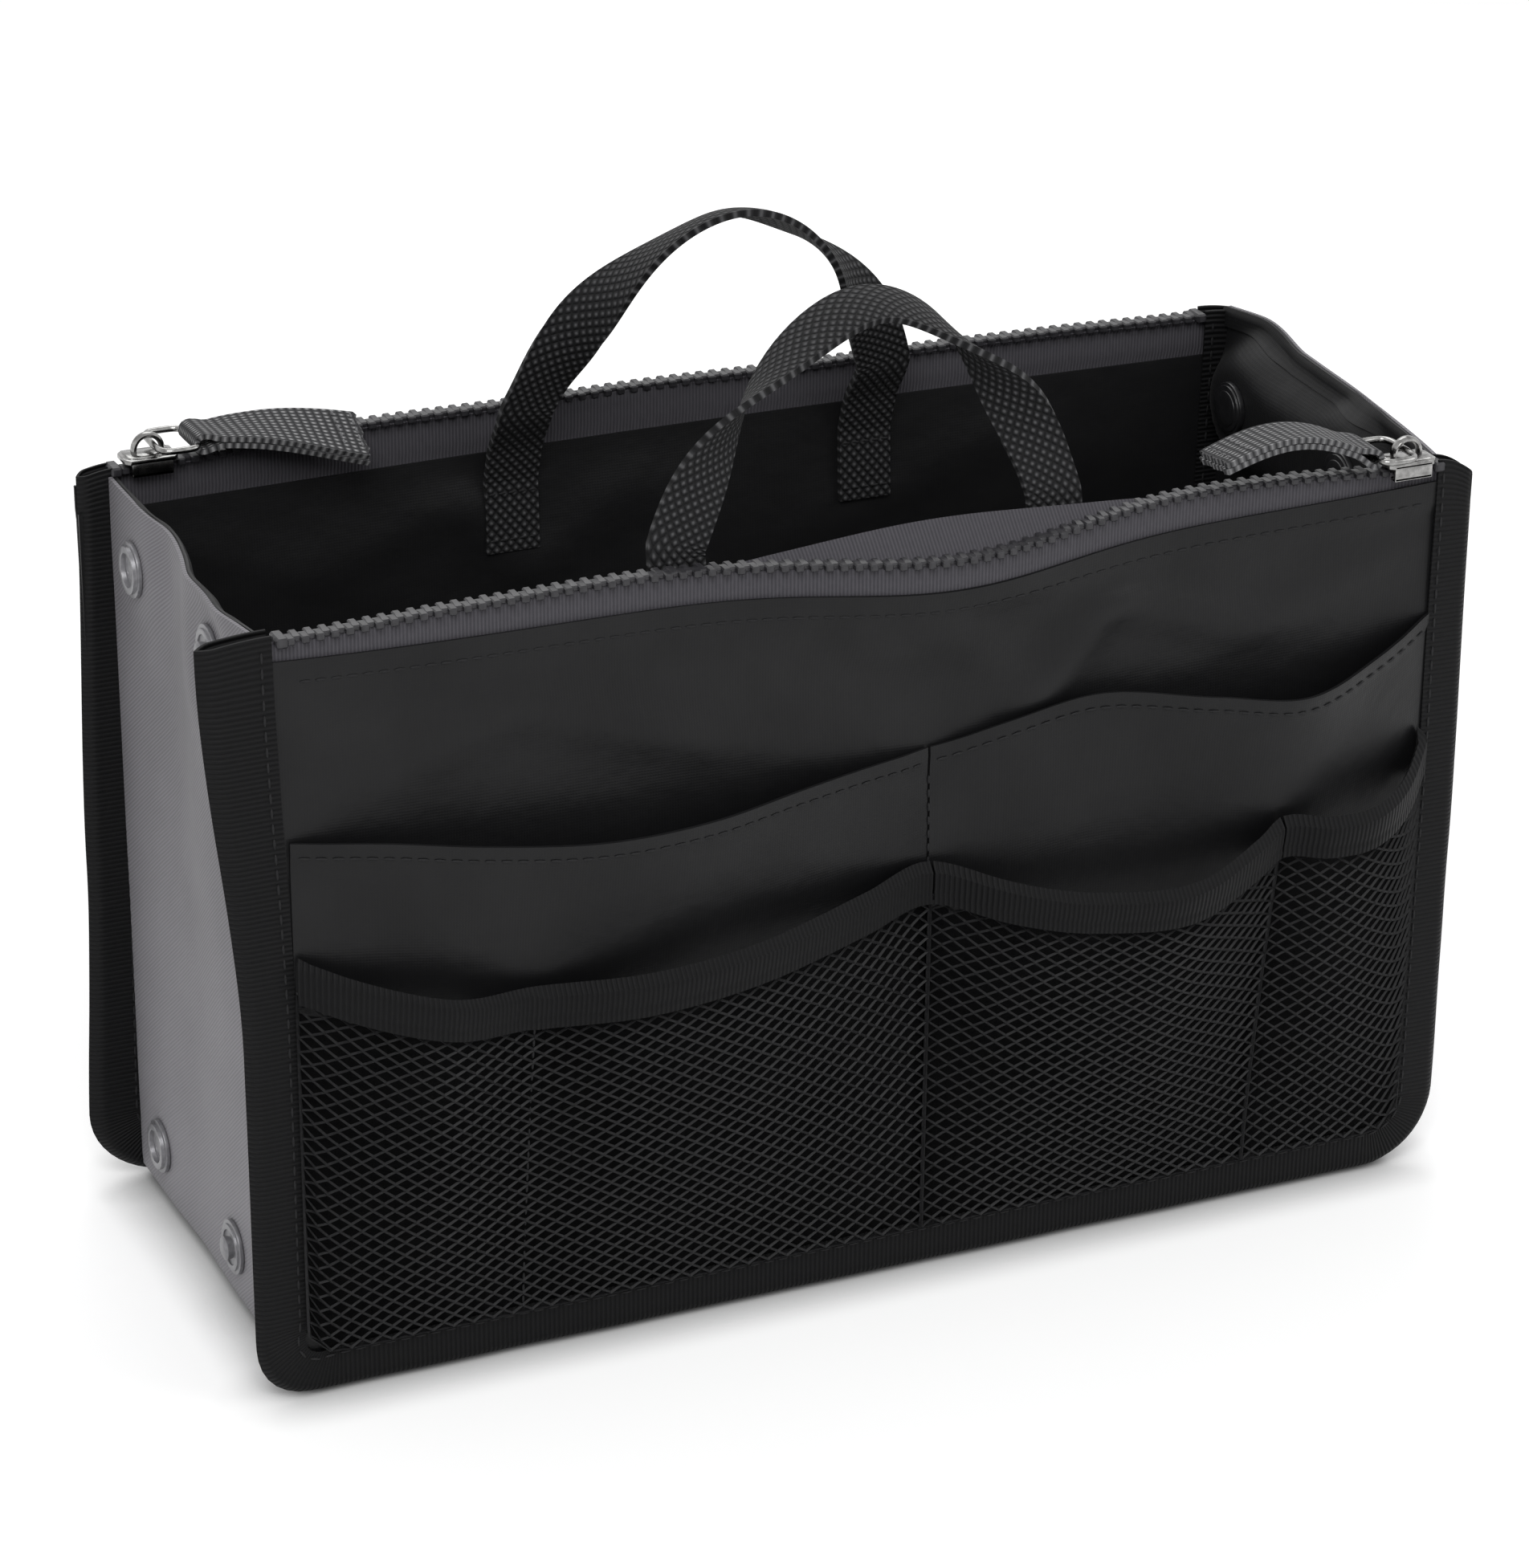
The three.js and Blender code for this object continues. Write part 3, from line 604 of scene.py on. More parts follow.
wall = {
    "low": 3,
    "inset": 2.2,
    "out": 1.0,
    "layer": 0.6,
    "hem": 6,
    "hemStep": 0.6,
    "seam": 4.6,
    "seamHalf": 131,
    "freeFrom": 118,
    "freeTo": 161,
    "ripple": 0.5,
    "folds": (  # middle x and z, slope, length, width, height of each soft crease above the pockets
        (20, 146, -0.75, 26, 6.0, 2.6),
        (46, 144, 1.1, 24, 6.5, 2.4),
        (0, 150, -0.7, 16, 4.0, 1.6),
        (70, 148, -0.3, 26, 5.5, 1.8),
        (-58, 142, -0.35, 32, 6.5, 1.8),
        (-98, 145, 0.3, 26, 6.0, 1.0),
        (104, 146, 0.4, 24, 6.0, 1.1),
    ),
}


def wallSwell(x, z, seed):
    free = smooth((z - wall["freeFrom"]) / 20) * smooth((wall["freeTo"] - z) / 10)
    swell = wall["ripple"] * ripple(x, z, 20, seed)
    for middleX, middleZ, slope, length, width, height in wall["folds"]:
        turn = math.atan(slope)
        a = (x - middleX) * math.cos(turn) + (z - middleZ) * math.sin(turn)
        b = -(x - middleX) * math.sin(turn) + (z - middleZ) * math.cos(turn)
        swell = swell + height * np.exp(-((a / length) ** 2) - (b / width) ** 2)
    return free * swell


def outerWallOut(end, x, z, seed):
    hem = wall["hemStep"] * smooth((z - wallTopAt(end, x) + wall["hem"]) / 0.8)
    return wall["out"] + wallSwell(x, z, seed) + hem + sagOutAt(end, x, z)


def makeWalls(end, body, seed):
    def outer(u, v):
        x = (2 * u - 1) * panel["half"]
        z = wall["low"] + v * (wallTopAt(end, x) - wall["low"])
        x = (2 * u - 1) * wallHalf(z, wall["inset"])
        return panelPoint(end, x, outerWallOut(end, x, z, seed), z)

    def inner(u, v):
        z = wall["low"] + v * (panel["lining"] - wall["low"])
        x = (2 * u - 1) * wallHalf(z, wall["inset"])
        return panelPoint(end, x, -0.5 - 0.5 * np.maximum(wallSwell(x, z, seed + 4), 0), z)

    outside = gridSheet(f"{end}OuterWall", 96, 64, outer, (286, 162))
    thicken(outside, wall["layer"])
    finishPiece(outside, "nylon", body, [f"{end}_outer_wall"])
    inside = gridSheet(f"{end}InnerWall", 80, 48, inner, (286, 160))
    thicken(inside, wall["layer"])
    finishPiece(inside, "lining", body, [f"{end}_inner_wall"])
    x = np.linspace(-wall["seamHalf"], wall["seamHalf"], 90)
    z = wallTopAt(end, x) - wall["seam"]
    line = panelPoint(end, x, outerWallOut(end, x, z, seed) + 0.1, z)
    row = seamRow(f"{end}WallHemStitches", line, facing(end), body)


# bound edges: a pair of numbers is for the left and the right side

binding = {
    "width": 11,
    "half": 2.1,
    "nose": 2.6,
    "layer": 0.55,
    "seam": 9.3,
    "leanFrom": 80,
    "lean": {"front": (7.0, -1.2), "rear": (3.5, -2.3)},
    "foot": {"front": (0, 0.5), "rear": (0, 3.0)},
    "corner": {"front": (2.4, 0), "rear": (0, 0)},
    "earFrom": 156,
    "rise": {"front": (3.0, 2.0), "rear": (2.7, 1.5)},
    "ear": {"front": (1.5, 4.8), "rear": (2.5, 1.5)},
}


def bindingPoint(end, s, inward, out):
    x, z, nx, nz = outlineAt(s, panel["half"], panel["height"], panel["corner"])
    sides = ("lean", "foot", "corner", "rise", "ear")
    lean, foot, corner, rise, ear = (np.where(x < 0, *binding[key][end]) for key in sides)
    flare = lean * smooth((z - binding["leanFrom"]) / (panel["height"] - binding["leanFrom"]))
    flare = flare + foot * smooth((binding["leanFrom"] - z) / binding["leanFrom"])
    top = smooth((z - binding["earFrom"]) / (panel["height"] - binding["earFrom"]))
    pinch = 0.35 * ripple(x * 1.3, z, 9, 2.0)
    push = corner * 4 * (nx * nz) ** 2
    px = x + (push - inward) * nx + flare * nx * (1 - inward / 16)
    pz = z + (push - inward) * nz + top * (rise - ear * (1 - inward / binding["width"]) ** 2)
    return panelPoint(end, px, out + pinch * 0.5, np.maximum(pz, 0.25))


def makeBinding(end, body):
    def folded(u, v):
        q = 2 * v - 1
        inward = binding["width"] * np.abs(q) + 0.5 * ripple(u * 300, v, 13, 1.0) * (np.abs(q) > 0.9)
        out = binding["half"] * quarterWave(q * binding["width"] / binding["nose"])
        return bindingPoint(end, u, inward, out)

    length = outlineLength(panel["half"], panel["height"], panel["corner"])
    tape = gridSheet(f"{end}Binding", 260, 26, folded, (length, 24))
    thicken(tape, binding["layer"])
    finishPiece(tape, "binding", body, [f"{end}_binding"])
    s = np.linspace(0.004, 0.996, 240)
    for label, way in (("Outer", 1), ("Inner", -1)):
        line = bindingPoint(end, s, binding["seam"], way * (binding["half"] + 0.1))
        seamRow(f"{end}Binding{label}Stitches", line, way * facing(end), body)


# zips

def zipLift(end, x):
    wave = 0.3 * np.sin(x / 31) + 0.2 * np.sin(x / 11 + 1)
    middle = zipper["lift"] * smooth((zipper["half"] - np.abs(x)) / 40)
    return wave + middle - zipper["sagDown"] * sagAt(end, x)


def makeTapes(end, body):
    def outer(u, v):
        x = (2 * u - 1) * (zipper["half"] + zipper["overhang"])
        z = zipper["tapeLow"] + v * (zipper["base"] + 0.8 - zipper["tapeLow"])
        out = zipper["tapeOut"] + 0.12 * ripple(x, z, 20, 5.0) + sagOutAt(end, x, z)
        return panelPoint(end, x, out, z + v * zipLift(end, x))

    def inner(u, v):
        x = (2 * u - 1) * (zipper["half"] + zipper["overhang"])
        # up the inner side, then over to the teeth where the mouth sags
        rise = np.clip(v * 2, 0, 1)
        over = np.clip(v * 2 - 1, 0, 1)
        sag = sagAt(end, x)
        top = zipper["base"] - 0.9 + zipLift(end, x) + zipper["sagRise"] * sag
        edge = zipper["base"] + 0.4 + zipLift(end, x)
        z = zipper["tapeLow"] + rise * (top - zipper["tapeLow"]) + over * (edge - top)
        lean = 0.6 * smooth((z - panel["lining"]) / 2) + zipper["ledge"] * over * (1 - sag)
        return panelPoint(end, x, 0.35 - lean + (zipper["sagOut"] - 1.2) * sag * over, z)

    for label, place in (("Outer", outer), ("Inner", inner)):
        tape = gridSheet(f"{end}ZipTape{label}", 110, 14, place, (266, 14.5))
        thicken(tape, zipper["tapeLayer"])
        node = f"{end}_zip_tape_{label.lower()}"
        finishPiece(tape, "tape", body, [node])


def shapeTooth():
    # a block, its head drawn out and widened, all edges eased
    length, depth, height = zipper["tooth"]
    model = addBlock((length * 0.72, depth, height), (0, 0, 0))
    pickFaces(model, lambda face: face.normal.y > 0.9)
    pushFace((0, 0.5, 0))
    bpy.ops.transform.resize(value=(1.3, 1, 0.82))
    pushFace((0, 1.0, 0))
    bpy.ops.transform.resize(value=(0.75, 1, 0.9))
    bpy.ops.mesh.select_all(action="SELECT")
    bpy.ops.mesh.bevel(offset=0.3, segments=1, affect="EDGES")
    switchMode("OBJECT")
    return takeShape(model)


toothShape = shapeTooth()


def chainSpot(end, x, out):
    z = zipper["base"] + zipper["tooth"][2] / 2 + zipLift(end, x)
    return np.array(panelPoint(end, np.float64(x), out, np.float64(z)), float)


def facingAxes(way):
    # the three directions of a copy, turned half round where way is -1
    return np.array([(way, 0, 0), (0, way, 0), (0, 0, 1)], float)


def makeChain(end, body):
    half, pitch = zipper["half"], zipper["pitch"]
    spots = []
    axes = []
    for k in range(2 * int(2 * half / pitch)):
        x = -half + (k + 0.5) * pitch / 2
        near = 1 if k % 2 == 0 else -1
        out = near * zipper["toothOut"] + zipper["sagOut"] * sagAt(end, x)
        spots.append(chainSpot(end, x, out))
        axes.append(facingAxes(near * turnOf[end]))
    for x in (-half - 1, half + 1):
        for near in (1, -1):
            spots.append(chainSpot(end, x, near * zipper["stopOut"]))
            axes.append(facingAxes(near * turnOf[end]) * zipper["stop"])
    chain = copiesAlong(f"{end}ZipTeeth", *toothShape, spots, axes)
    finishPiece(chain, "teeth", body, [f"{end}_zip_chain"], 25)


# sliders and pull rings, shaped once in their own place and copied to both zips

slider = {
    "length": 10,
    "half": 3.8,
    "top": 175.2,
    "low": 171.2,
    "bridgeReach": 3.2,
    "wire": 0.65,
    "rest": 126,
}
ring = {"axis": 125, "height": 177.4, "middle": -4.5, "reach": 4.6, "half": 7.1, "wire": 0.75}


def shapeSlider():
    length, half = slider["length"], slider["half"]
    top, low = slider["top"], slider["low"]
    middle = (0, 0, top - 0.55)
    crown = addBlock((length, 2 * half, 1.1), middle)
    for way, reach, narrow in ((1, 1.2, 0.62), (-1, 0.9, 0.8)):
        pickFaces(crown, lambda face: face.normal.x * way > 0.9)
        pushFace((way * reach, 0, 0))
        bpy.ops.transform.resize(value=(1, narrow, 1), center_override=middle)
    pickFaces(crown, lambda face: face.normal.z > 0.9)
    bpy.ops.mesh.inset(thickness=0.9)
    pushFace((0, 0, 0.35))
    parts = [crown]
    for side in (-1, 1):
        railSpot = (0, side * (half - 0.5), (top + low) / 2 - 0.2)
        rail = addBlock((length - 0.6, 1.0, top - low - 0.4), railSpot)
        pickFaces(rail, lambda face: face.normal.y * side < -0.9)
        bpy.ops.mesh.inset(thickness=0.35)
        lip = addBlock((length - 0.6, 2.0, 0.8), (0, side * (half - 1.0), low + 0.4))
        pickFaces(lip, lambda face: abs(face.normal.x) > 0.9)
        bpy.ops.mesh.inset(thickness=0.2)
        parts.extend([rail, lip])
    for part in parts:
        easeEdges(part, 0.22, 30)
    deselectAll()
    bpy.ops.mesh.primitive_torus_add(
        major_radius=slider["bridgeReach"],
        minor_radius=slider["wire"],
        major_segments=36,
        minor_segments=10,
    )
    bridge = bpy.context.object
    points = readPoints(bridge)
    lifted = np.stack([points[:, 0], points[:, 2] * 1.7, top + 0.9 + points[:, 1] * 1.05], axis=1)
    writePoints(bridge, lifted)
    switchMode("EDIT")
    bpy.ops.mesh.select_all(action="SELECT")
    bpy.ops.mesh.normals_make_consistent(inside=False)
    cut = (0, 0, top - 0.6)
    bpy.ops.mesh.bisect(plane_co=cut, plane_no=(0, 0, 1), use_fill=True, clear_inner=True)
    switchMode("OBJECT")
    deselectAll()
    for part in [*parts, bridge]:
        part.select_set(True)
    bpy.context.view_layer.objects.active = crown
    bpy.ops.object.join()
    return takeShape(crown)


def shapeRing():
    deselectAll()
    bpy.ops.mesh.primitive_torus_add(major_radius=1, minor_radius=0.25, major_segments=56, minor_segments=12)
    model = bpy.context.object
    points = readPoints(model)
    turn = np.arctan2(points[:, 1], points[:, 0])
    away = (np.hypot(points[:, 0], points[:, 1]) - 1) / 0.25 * ring["wire"]
    up = points[:, 2] / 0.25 * ring["wire"]
    lineX = ring["reach"] * np.sign(np.cos(turn)) * np.abs(np.cos(turn)) ** 0.5
    lineY = ring["half"] * np.sign(np.sin(turn)) * np.abs(np.sin(turn)) ** 0.5
    x = ring["middle"] + lineX + away * np.cos(turn)
    writePoints(model, np.stack([x, lineY + away * np.sin(turn), up], axis=1))
    return takeShape(model)


sliderShape = shapeSlider()
ringShape = shapeRing()


def makeSlider(end):
    turn = turnOf[end]
    axes = [facingAxes(turn)]
    spot = np.array([turn * slider["rest"], -turn * panel["spacing"], 0.0])
    body = copiesAlong(f"{end}Slider", *sliderShape, [spot], axes)
    finishPiece(body, "nickel", f"{end}_zip_slider", [f"{end}_slider"], 30)
    spot = np.array([turn * ring["axis"], -turn * panel["spacing"], ring["height"]])
    loop = copiesAlong(f"{end}PullRing", *ringShape, [spot], axes)
    finishPiece(loop, "nickel", f"{end}_zip_pull", [f"{end}_pull_ring"], 60)


# zip pulls: webbing laid double through the ring

pull = {
    "axis": (125, 177.4),
    "reach": 9,
    "length": 38,
    "flat": 88,
    "width": 13,
    "layer": 1.2,
    "gap": 0.12,
    "eye": 1.05,
    "leg": 0.46,
    "arch": {"front": 5.2, "rear": 1.8},
    "drop": {"front": 3.2, "rear": -4.4},
    "roll": {"front": 6, "rear": 30},
    "slide": {"front": 0, "rear": 3.5},
    "seams": (0.86, 0.97),
    "seamHalf": 5.4,
}


def strapMiddle(end, share):
    axisX, axisZ = pull["axis"]
    rise = pull["arch"][end] * np.sin(math.pi * share) + pull["drop"][end] * share
    return axisX - pull["reach"] - share * pull["length"], axisZ + rise


def strapPoint(end, x, z, wide, share):
    # the free end rolls over towards the middle of the bag
    turn = turnOf[end]
    roll = math.radians(pull["roll"][end]) * smooth(share)
    y = panel["spacing"] - wide * np.cos(roll) - pull["slide"][end] * smooth(share)
    return turn * x, -turn * y, z - wide * np.sin(roll)


def makePullStrap(end):
    body = f"{end}_zip_pull"

    def doubled(u, v):
        # lower layer in, round the ring bar, upper layer out
        leg = pull["leg"]
        share = np.where(u < 0.5, np.clip(1 - u / leg, 0, 1), np.clip((u - 1 + leg) / leg, 0, 1))
        opening = pull["gap"] + pull["layer"] / 2 + pull["eye"] * (1 - smooth(share / 0.12))
        angle = -math.pi / 2 + math.pi * np.clip((u - leg) / (1 - 2 * leg), 0, 1)
        x, z = strapMiddle(end, 0.03 + share * 0.97)
        x = x + opening * np.cos(angle)
        z = z + opening * np.sin(angle)
        wide = (v - 0.5) * pull["width"] * (0.86 + 0.14 * smooth(share / 0.25))
        ragged = 0.8 * ripple(v * 60, u, 2.5, 6.0) * ((u < 0.01) | (u > 0.99))
        return strapPoint(end, x + ragged, z + 0.12 * ripple(x, wide * 3, 7, 3.0), wide, share)

    strap = gridSheet(f"{end}PullStrap", 90, 12, doubled, (pull["flat"], pull["width"]))
    applyModifier(strap, "SOLIDIFY", thickness=pull["layer"] * mm, offset=0)
    finishPiece(strap, "pull", body, [f"{end}_pull_strap"])
    for k, share in enumerate(pull["seams"]):
        x, z = strapMiddle(end, np.full(12, share))
        top = z + 1.5 * pull["layer"] + 0.17
        wide = np.linspace(-pull["seamHalf"], pull["seamHalf"], 12)
        line = strapPoint(end, x, top, wide, np.full(12, share))
        name = f"{end}PullStitches{k}"
        seamRow(name, line, (0, 0, 1), body, 2.0, "greyThread")


# handles: one webbing each, from the sewn patch over the arch to the other patch

handle = {
    "width": 12.8,
    "layer": 1.5,
    "reach": 44,
    "rise": {"front": 46.8, "rear": 51},
    "power": 2 / 1.5,
    "ease": 60,
    "sway": {"front": 8, "rear": 1.6},
    "shift": {"front": 0, "rear": -2.8},
    "lean": 20,
    "foldHeight": 176,
    "foldOut": -9.0154,
    "bend": 4,
    "plain": 4,
    "twist": 126,
    "patchLow": 140,
    "patchTop": 157,
    "patchOut": -2.1,
    "seams": (143, 154),
}


def handlePath(count, end):
    lean = math.radians(handle["lean"])
    turns = np.linspace(0, math.pi, count)
    flatX = -handle["reach"] * np.sign(np.cos(turns)) * np.abs(np.cos(turns)) ** handle["power"]
    share = np.abs(np.sin(turns)) ** handle["power"]
    flatX = flatX + handle["sway"][end] * share
    height = handle["rise"][end] * share
    for _ in range(handle["ease"]):  # rounds the top
        flatX[1:-1] = (flatX[:-2] + 2 * flatX[1:-1] + flatX[2:]) / 4
        height[1:-1] = (height[:-2] + 2 * height[1:-1] + height[2:]) / 4
    archOut = handle["foldOut"] - height * math.sin(lean)
    archZ = handle["foldHeight"] + height * math.cos(lean)
    arch = np.stack([flatX, archOut, archZ], axis=1)
    rise = np.linspace(0, 1, 14)[:-1]
    legZ = handle["patchLow"] + rise * (handle["foldHeight"] - handle["patchLow"])
    bent = np.maximum(legZ - handle["patchTop"], 0) / (handle["foldHeight"] - handle["patchTop"])
    legOut = handle["patchOut"] + (handle["foldOut"] - handle["patchOut"]) * bent
    left = np.stack([np.full(13, -handle["reach"]), legOut, legZ], axis=1)
    right = left[::-1] * np.array([-1, 1, 1])
    return np.concatenate([left, arch, right]), np.concatenate([np.zeros(13), height, np.zeros(13)])


def makeHandle(end):
    turn = turnOf[end]
    shift = turn * handle["shift"][end]
    path, height = handlePath(64, end)
    run = runAlong(path)
    total = run[-1]

    def ribbon(u, v):
        t = u * total
        spot = pointsAt(t, run, path)
        along = pointsAt(t + 2.5, run, path) - pointsAt(t - 2.5, run, path)
        along = along / np.linalg.norm(along, axis=1, keepdims=True)
        tall = np.interp(t, run, height)
        lean = math.radians(handle["lean"])
        side = np.tile([0.0, math.cos(lean), math.sin(lean)], (len(u), 1))
        outward = np.cross(side, along)
        outward = outward / np.linalg.norm(outward, axis=1, keepdims=True)
        share = smooth((tall - handle["plain"]) / (height.max() - handle["plain"]))
        twist = share * math.radians(handle["twist"])
        wide = outward * np.cos(twist)[:, None] - side * np.sin(twist)[:, None]
        cup = 0.5 * (1 - (2 * v - 1) ** 2) * smooth(tall / 20)
        normal = np.cross(along, wide)
        spot = spot + wide * ((v - 0.5) * handle["width"])[:, None] - normal * cup[:, None]
        bowOut = bow(end, spot[:, 0], spot[:, 2]) * smooth((handle["foldHeight"] - spot[:, 2]) / 12)
        return turn * spot[:, 0] + shift, -turn * (panel["spacing"] + spot[:, 1] + bowOut), spot[:, 2]

    strap = gridSheet(f"{end}Handle", 220, 12, ribbon, (total, handle["width"]))
    applyModifier(strap, "SOLIDIFY", thickness=handle["layer"] * mm, offset=0)
    nodes = [f"{end}_handle", f"{end}_handle_tab_left", f"{end}_handle_tab_right"]
    finishPiece(strap, "webbing", None, nodes)
    for k, legX in enumerate((-handle["reach"], handle["reach"])):
        for m, z in enumerate(handle["seams"]):
            x = legX + np.linspace(-6, 6, 10)
            out = handle["patchOut"] - handle["layer"] / 2 - 0.1 + bow(end, x, z + 0 * x)
            y = -turn * (panel["spacing"] + out)
            line = (turn * x + shift, y, np.full(10, z))
            name = f"{end}HandleStitches{k}{m}"
            seamRow(name, line, -facing(end), f"{end}_side", 2.4)
    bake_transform(strap)


# slip pockets and nets on the front

slip = {
    "half": 134,
    "divider": 11,
    "knots": (-134, -115, -95, -70, -45, -22, 0, 11, 30, 50, 76, 98, 118, 134),
    "mouth": (129.2, 128, 126, 123.7, 123.7, 124.6, 125.5, 125.9, 129.7, 133.1, 130.5, 128.1, 132.3, 138),
    "gape": (0, 5, 10.5, 14, 12.5, 7, 2, 0, 1.5, 3, 9, 12, 6, 0),
    "hem": 4.2,
    "seam": 3.3,
    "layer": 0.7,
}

net = {
    "knots": (-134, -122, -106, -85, -62, -34, -8, 11, 26, 46, 69, 86, 93, 104, 116, 127, 134),
    "mouth": (101, 96.8, 92.7, 90, 91, 94, 96.6, 97.2, 93.3, 89.5, 89.4, 94.9, 97.3, 96.9, 98, 102.2, 107.7),
    "gape": (0, 5, 8.5, 2, 6.5, 9, 5, 0.3, 7, 12, 12.5, 5, 1, 6, 9, 5, 0),
    "strand": 0.9,
    "cell": (4.7, 3.5),
    "band": 9,
    "bandHalf": 0.85,
    "bandRise": 2.2,
    "bandSeam": 6.2,
    "lap": -86,
    "lapOver": 9,
}


def pocketBottom(x):
    beyond = np.maximum(np.abs(x) - (panel["half"] - panel["corner"]), 0)
    return panel["corner"] - np.sqrt(np.maximum((panel["corner"] - 10.5) ** 2 - beyond ** 2, 0))


def pocketShare(x, z, mouth):
    # 0 at the bottom seam, 1 at the mouth
    low = pocketBottom(x)
    return np.clip((z - low) / (mouth(x) - low), 0, 1.05)


def slipMouth(x):
    return curveThrough(x, slip["knots"], slip["mouth"])


def slipOut(x, z):
    share = pocketShare(x, z, slipMouth)
    soft = 0.45 * ripple(x, z, 14, 8.0) * quarterWave(share)
    gape = np.maximum(curveThrough(x, slip["knots"], slip["gape"]), 0)
    hold = smooth(np.minimum(np.abs(x - slip["divider"]), slip["half"] - np.abs(x)) / 9)
    return 1.7 + gape * share ** 1.5 + (0.5 + soft) * hold * smooth(share * 3)


def netMouth(x):
    return curveThrough(x, net["knots"], net["mouth"])


def netOut(x, z):
    share = pocketShare(x, z, netMouth)
    gape = np.maximum(curveThrough(x, net["knots"], net["gape"]), 0)
    return slipOut(x, z) + 1.1 + gape * share ** 0.85


def makeSlipPocket(end, label, left, right, mouth, outAt, flat):
    name = f"{end}Pocket{label.title()}"
    body = f"{end}_side"

    def shaped(u, v):
        x = left + u * (right - left)
        low = pocketBottom(x)
        z = low + v * (mouth(x) - low)
        hem = 0.45 * smooth((z - mouth(x) + slip["hem"]) / 0.7)
        return panelPoint(end, x, outAt(x, z) + hem, z)

    pocket = gridSheet(name, 72, 60, shaped, flat)
    thicken(pocket, slip["layer"])
    finishPiece(pocket, "nylon", body, [f"{end}_pocket_{label}"])
    x = np.linspace(left + 1, right - 1, 80)
    z = mouth(x) - slip["seam"]
    line = panelPoint(end, x, outAt(x, z) + 0.5, z)
    row = seamRow(f"{name}HemStitches", line, facing(end), body)
    return pocket


def paintNetShade(pocket):
    # painted shade: pocket faces below the net mouth take the darker nylon, standing in for the shade the
    # net casts on them
    pocket.data.materials.append(finishes["paintedNetShade"])
    middles = np.array([face.center for face in pocket.data.polygons]) / mm
    netShadedFaces = middles[:, 2] < netMouth(middles[:, 0]) - net["lapOver"]
    for face, low in zip(pocket.data.polygons, netShadedFaces):
        face.material_index = int(low)


def makeSeamLine(name, x, low, high, outAt):
    z = np.linspace(low, high, 40)
    x = np.full(40, float(x))
    line = panelPoint("front", x, outAt(x, z) + 0.15, z)
    seamRow(name, line, facing("front"), "front_side", 2.8)


def makeNet(name, node, left, right):
    columns = round((right - left) / net["cell"][0])
    rows = round(84 / net["cell"][1])
    piece = startGrid(name, columns, rows)
    switchMode("EDIT")
    bpy.ops.mesh.select_all(action="SELECT")
    bpy.ops.mesh.poke()
    bpy.ops.mesh.select_all(action="DESELECT")
    bpy.ops.mesh.select_mode(type="EDGE")
    switchMode("OBJECT")
    cut = readPoints(piece)
    across = (cut[:, 0] + 0.5) * columns
    corner = np.abs(across - np.round(across)) < 0.2
    edge = np.abs(np.abs(cut[:, :2]) - 0.5) < 1e-5
    for line in piece.data.edges:
        a, b = line.vertices
        rim = np.any(edge[a] & edge[b])
        line.select = bool(corner[a] and corner[b] and not rim)
    switchMode("EDIT")
    bpy.ops.mesh.dissolve_edges(use_verts=False)
    switchMode("OBJECT")
    cut = readPoints(piece)
    u = cut[:, 0] + 0.5
    v = cut[:, 1] + 0.5
    x = left + u * (right - left)
    low = pocketBottom(x)
    z = low + v * (netMouth(x) - 5 - low)
    x = x + 0.5 * ripple(z, x, 15, 4.0) * np.sin(u * math.pi)
    writePoints(piece, np.stack(panelPoint("front", x, netOut(x, z) + 0.3, z), axis=1) * mm)
    applyModifier(piece, "WIREFRAME", thickness=net["strand"] * mm, use_boundary=True, use_even_offset=False)
    finishPiece(piece, "net", "front_side", [node])


def makeNetBand(name, node, left, right):
    def folded(u, v):
        x = left + u * (right - left)
        q = 2 * v - 1
        drop = net["band"] * np.abs(q)
        z = netMouth(x) + net["bandRise"] - drop
        crease = 0.25 * np.exp(-(((drop - net["bandSeam"]) / 0.5) ** 2))
        lip = quarterWave(q / 0.16)
        lap = 0.55 * smooth((x - net["lap"]) / 0.8) * (q > 0.1)
        out = netOut(x, np.minimum(z, netMouth(x))) + (net["bandHalf"] - crease) * lip + 0.3 + lap
        return panelPoint("front", x, out, z + 0.3 * ripple(x, z, 12, 2.5))

    length = (right - left) * 1.06
    band = gridSheet(name, max(int((right - left) / 2.2), 10), 22, folded, (length, 18))
    thicken(band, 0.4)
    finishPiece(band, "binding", "front_side", [node])
    x = np.linspace(left + 1, right - 1, 70)
    z = netMouth(x) + net["bandRise"] - net["bandSeam"]
    line = panelPoint("front", x, netOut(x, z) + net["bandHalf"] + 0.2, z)
    row = seamRow(f"{name}Stitches", line, facing("front"), "front_side", 2.8)


# slip pockets on the rear

rearSlip = {"half": 134, "mouth": 118, "sag": 3, "gape": 8}


def rearAcross(x):
    return np.sin(math.pi * np.clip(np.abs(x) / rearSlip["half"], 0, 1))


def rearMouth(x):
    return rearSlip["mouth"] - rearSlip["sag"] * rearAcross(x)


def rearOut(x, z):
    share = pocketShare(x, z, rearMouth)
    across = rearAcross(x)
    soft = 0.35 * across * ripple(x, z, 14, 6.0) * share
    return 1.7 + rearSlip["gape"] * across ** 0.8 * share ** 1.4 + soft


# folding strip

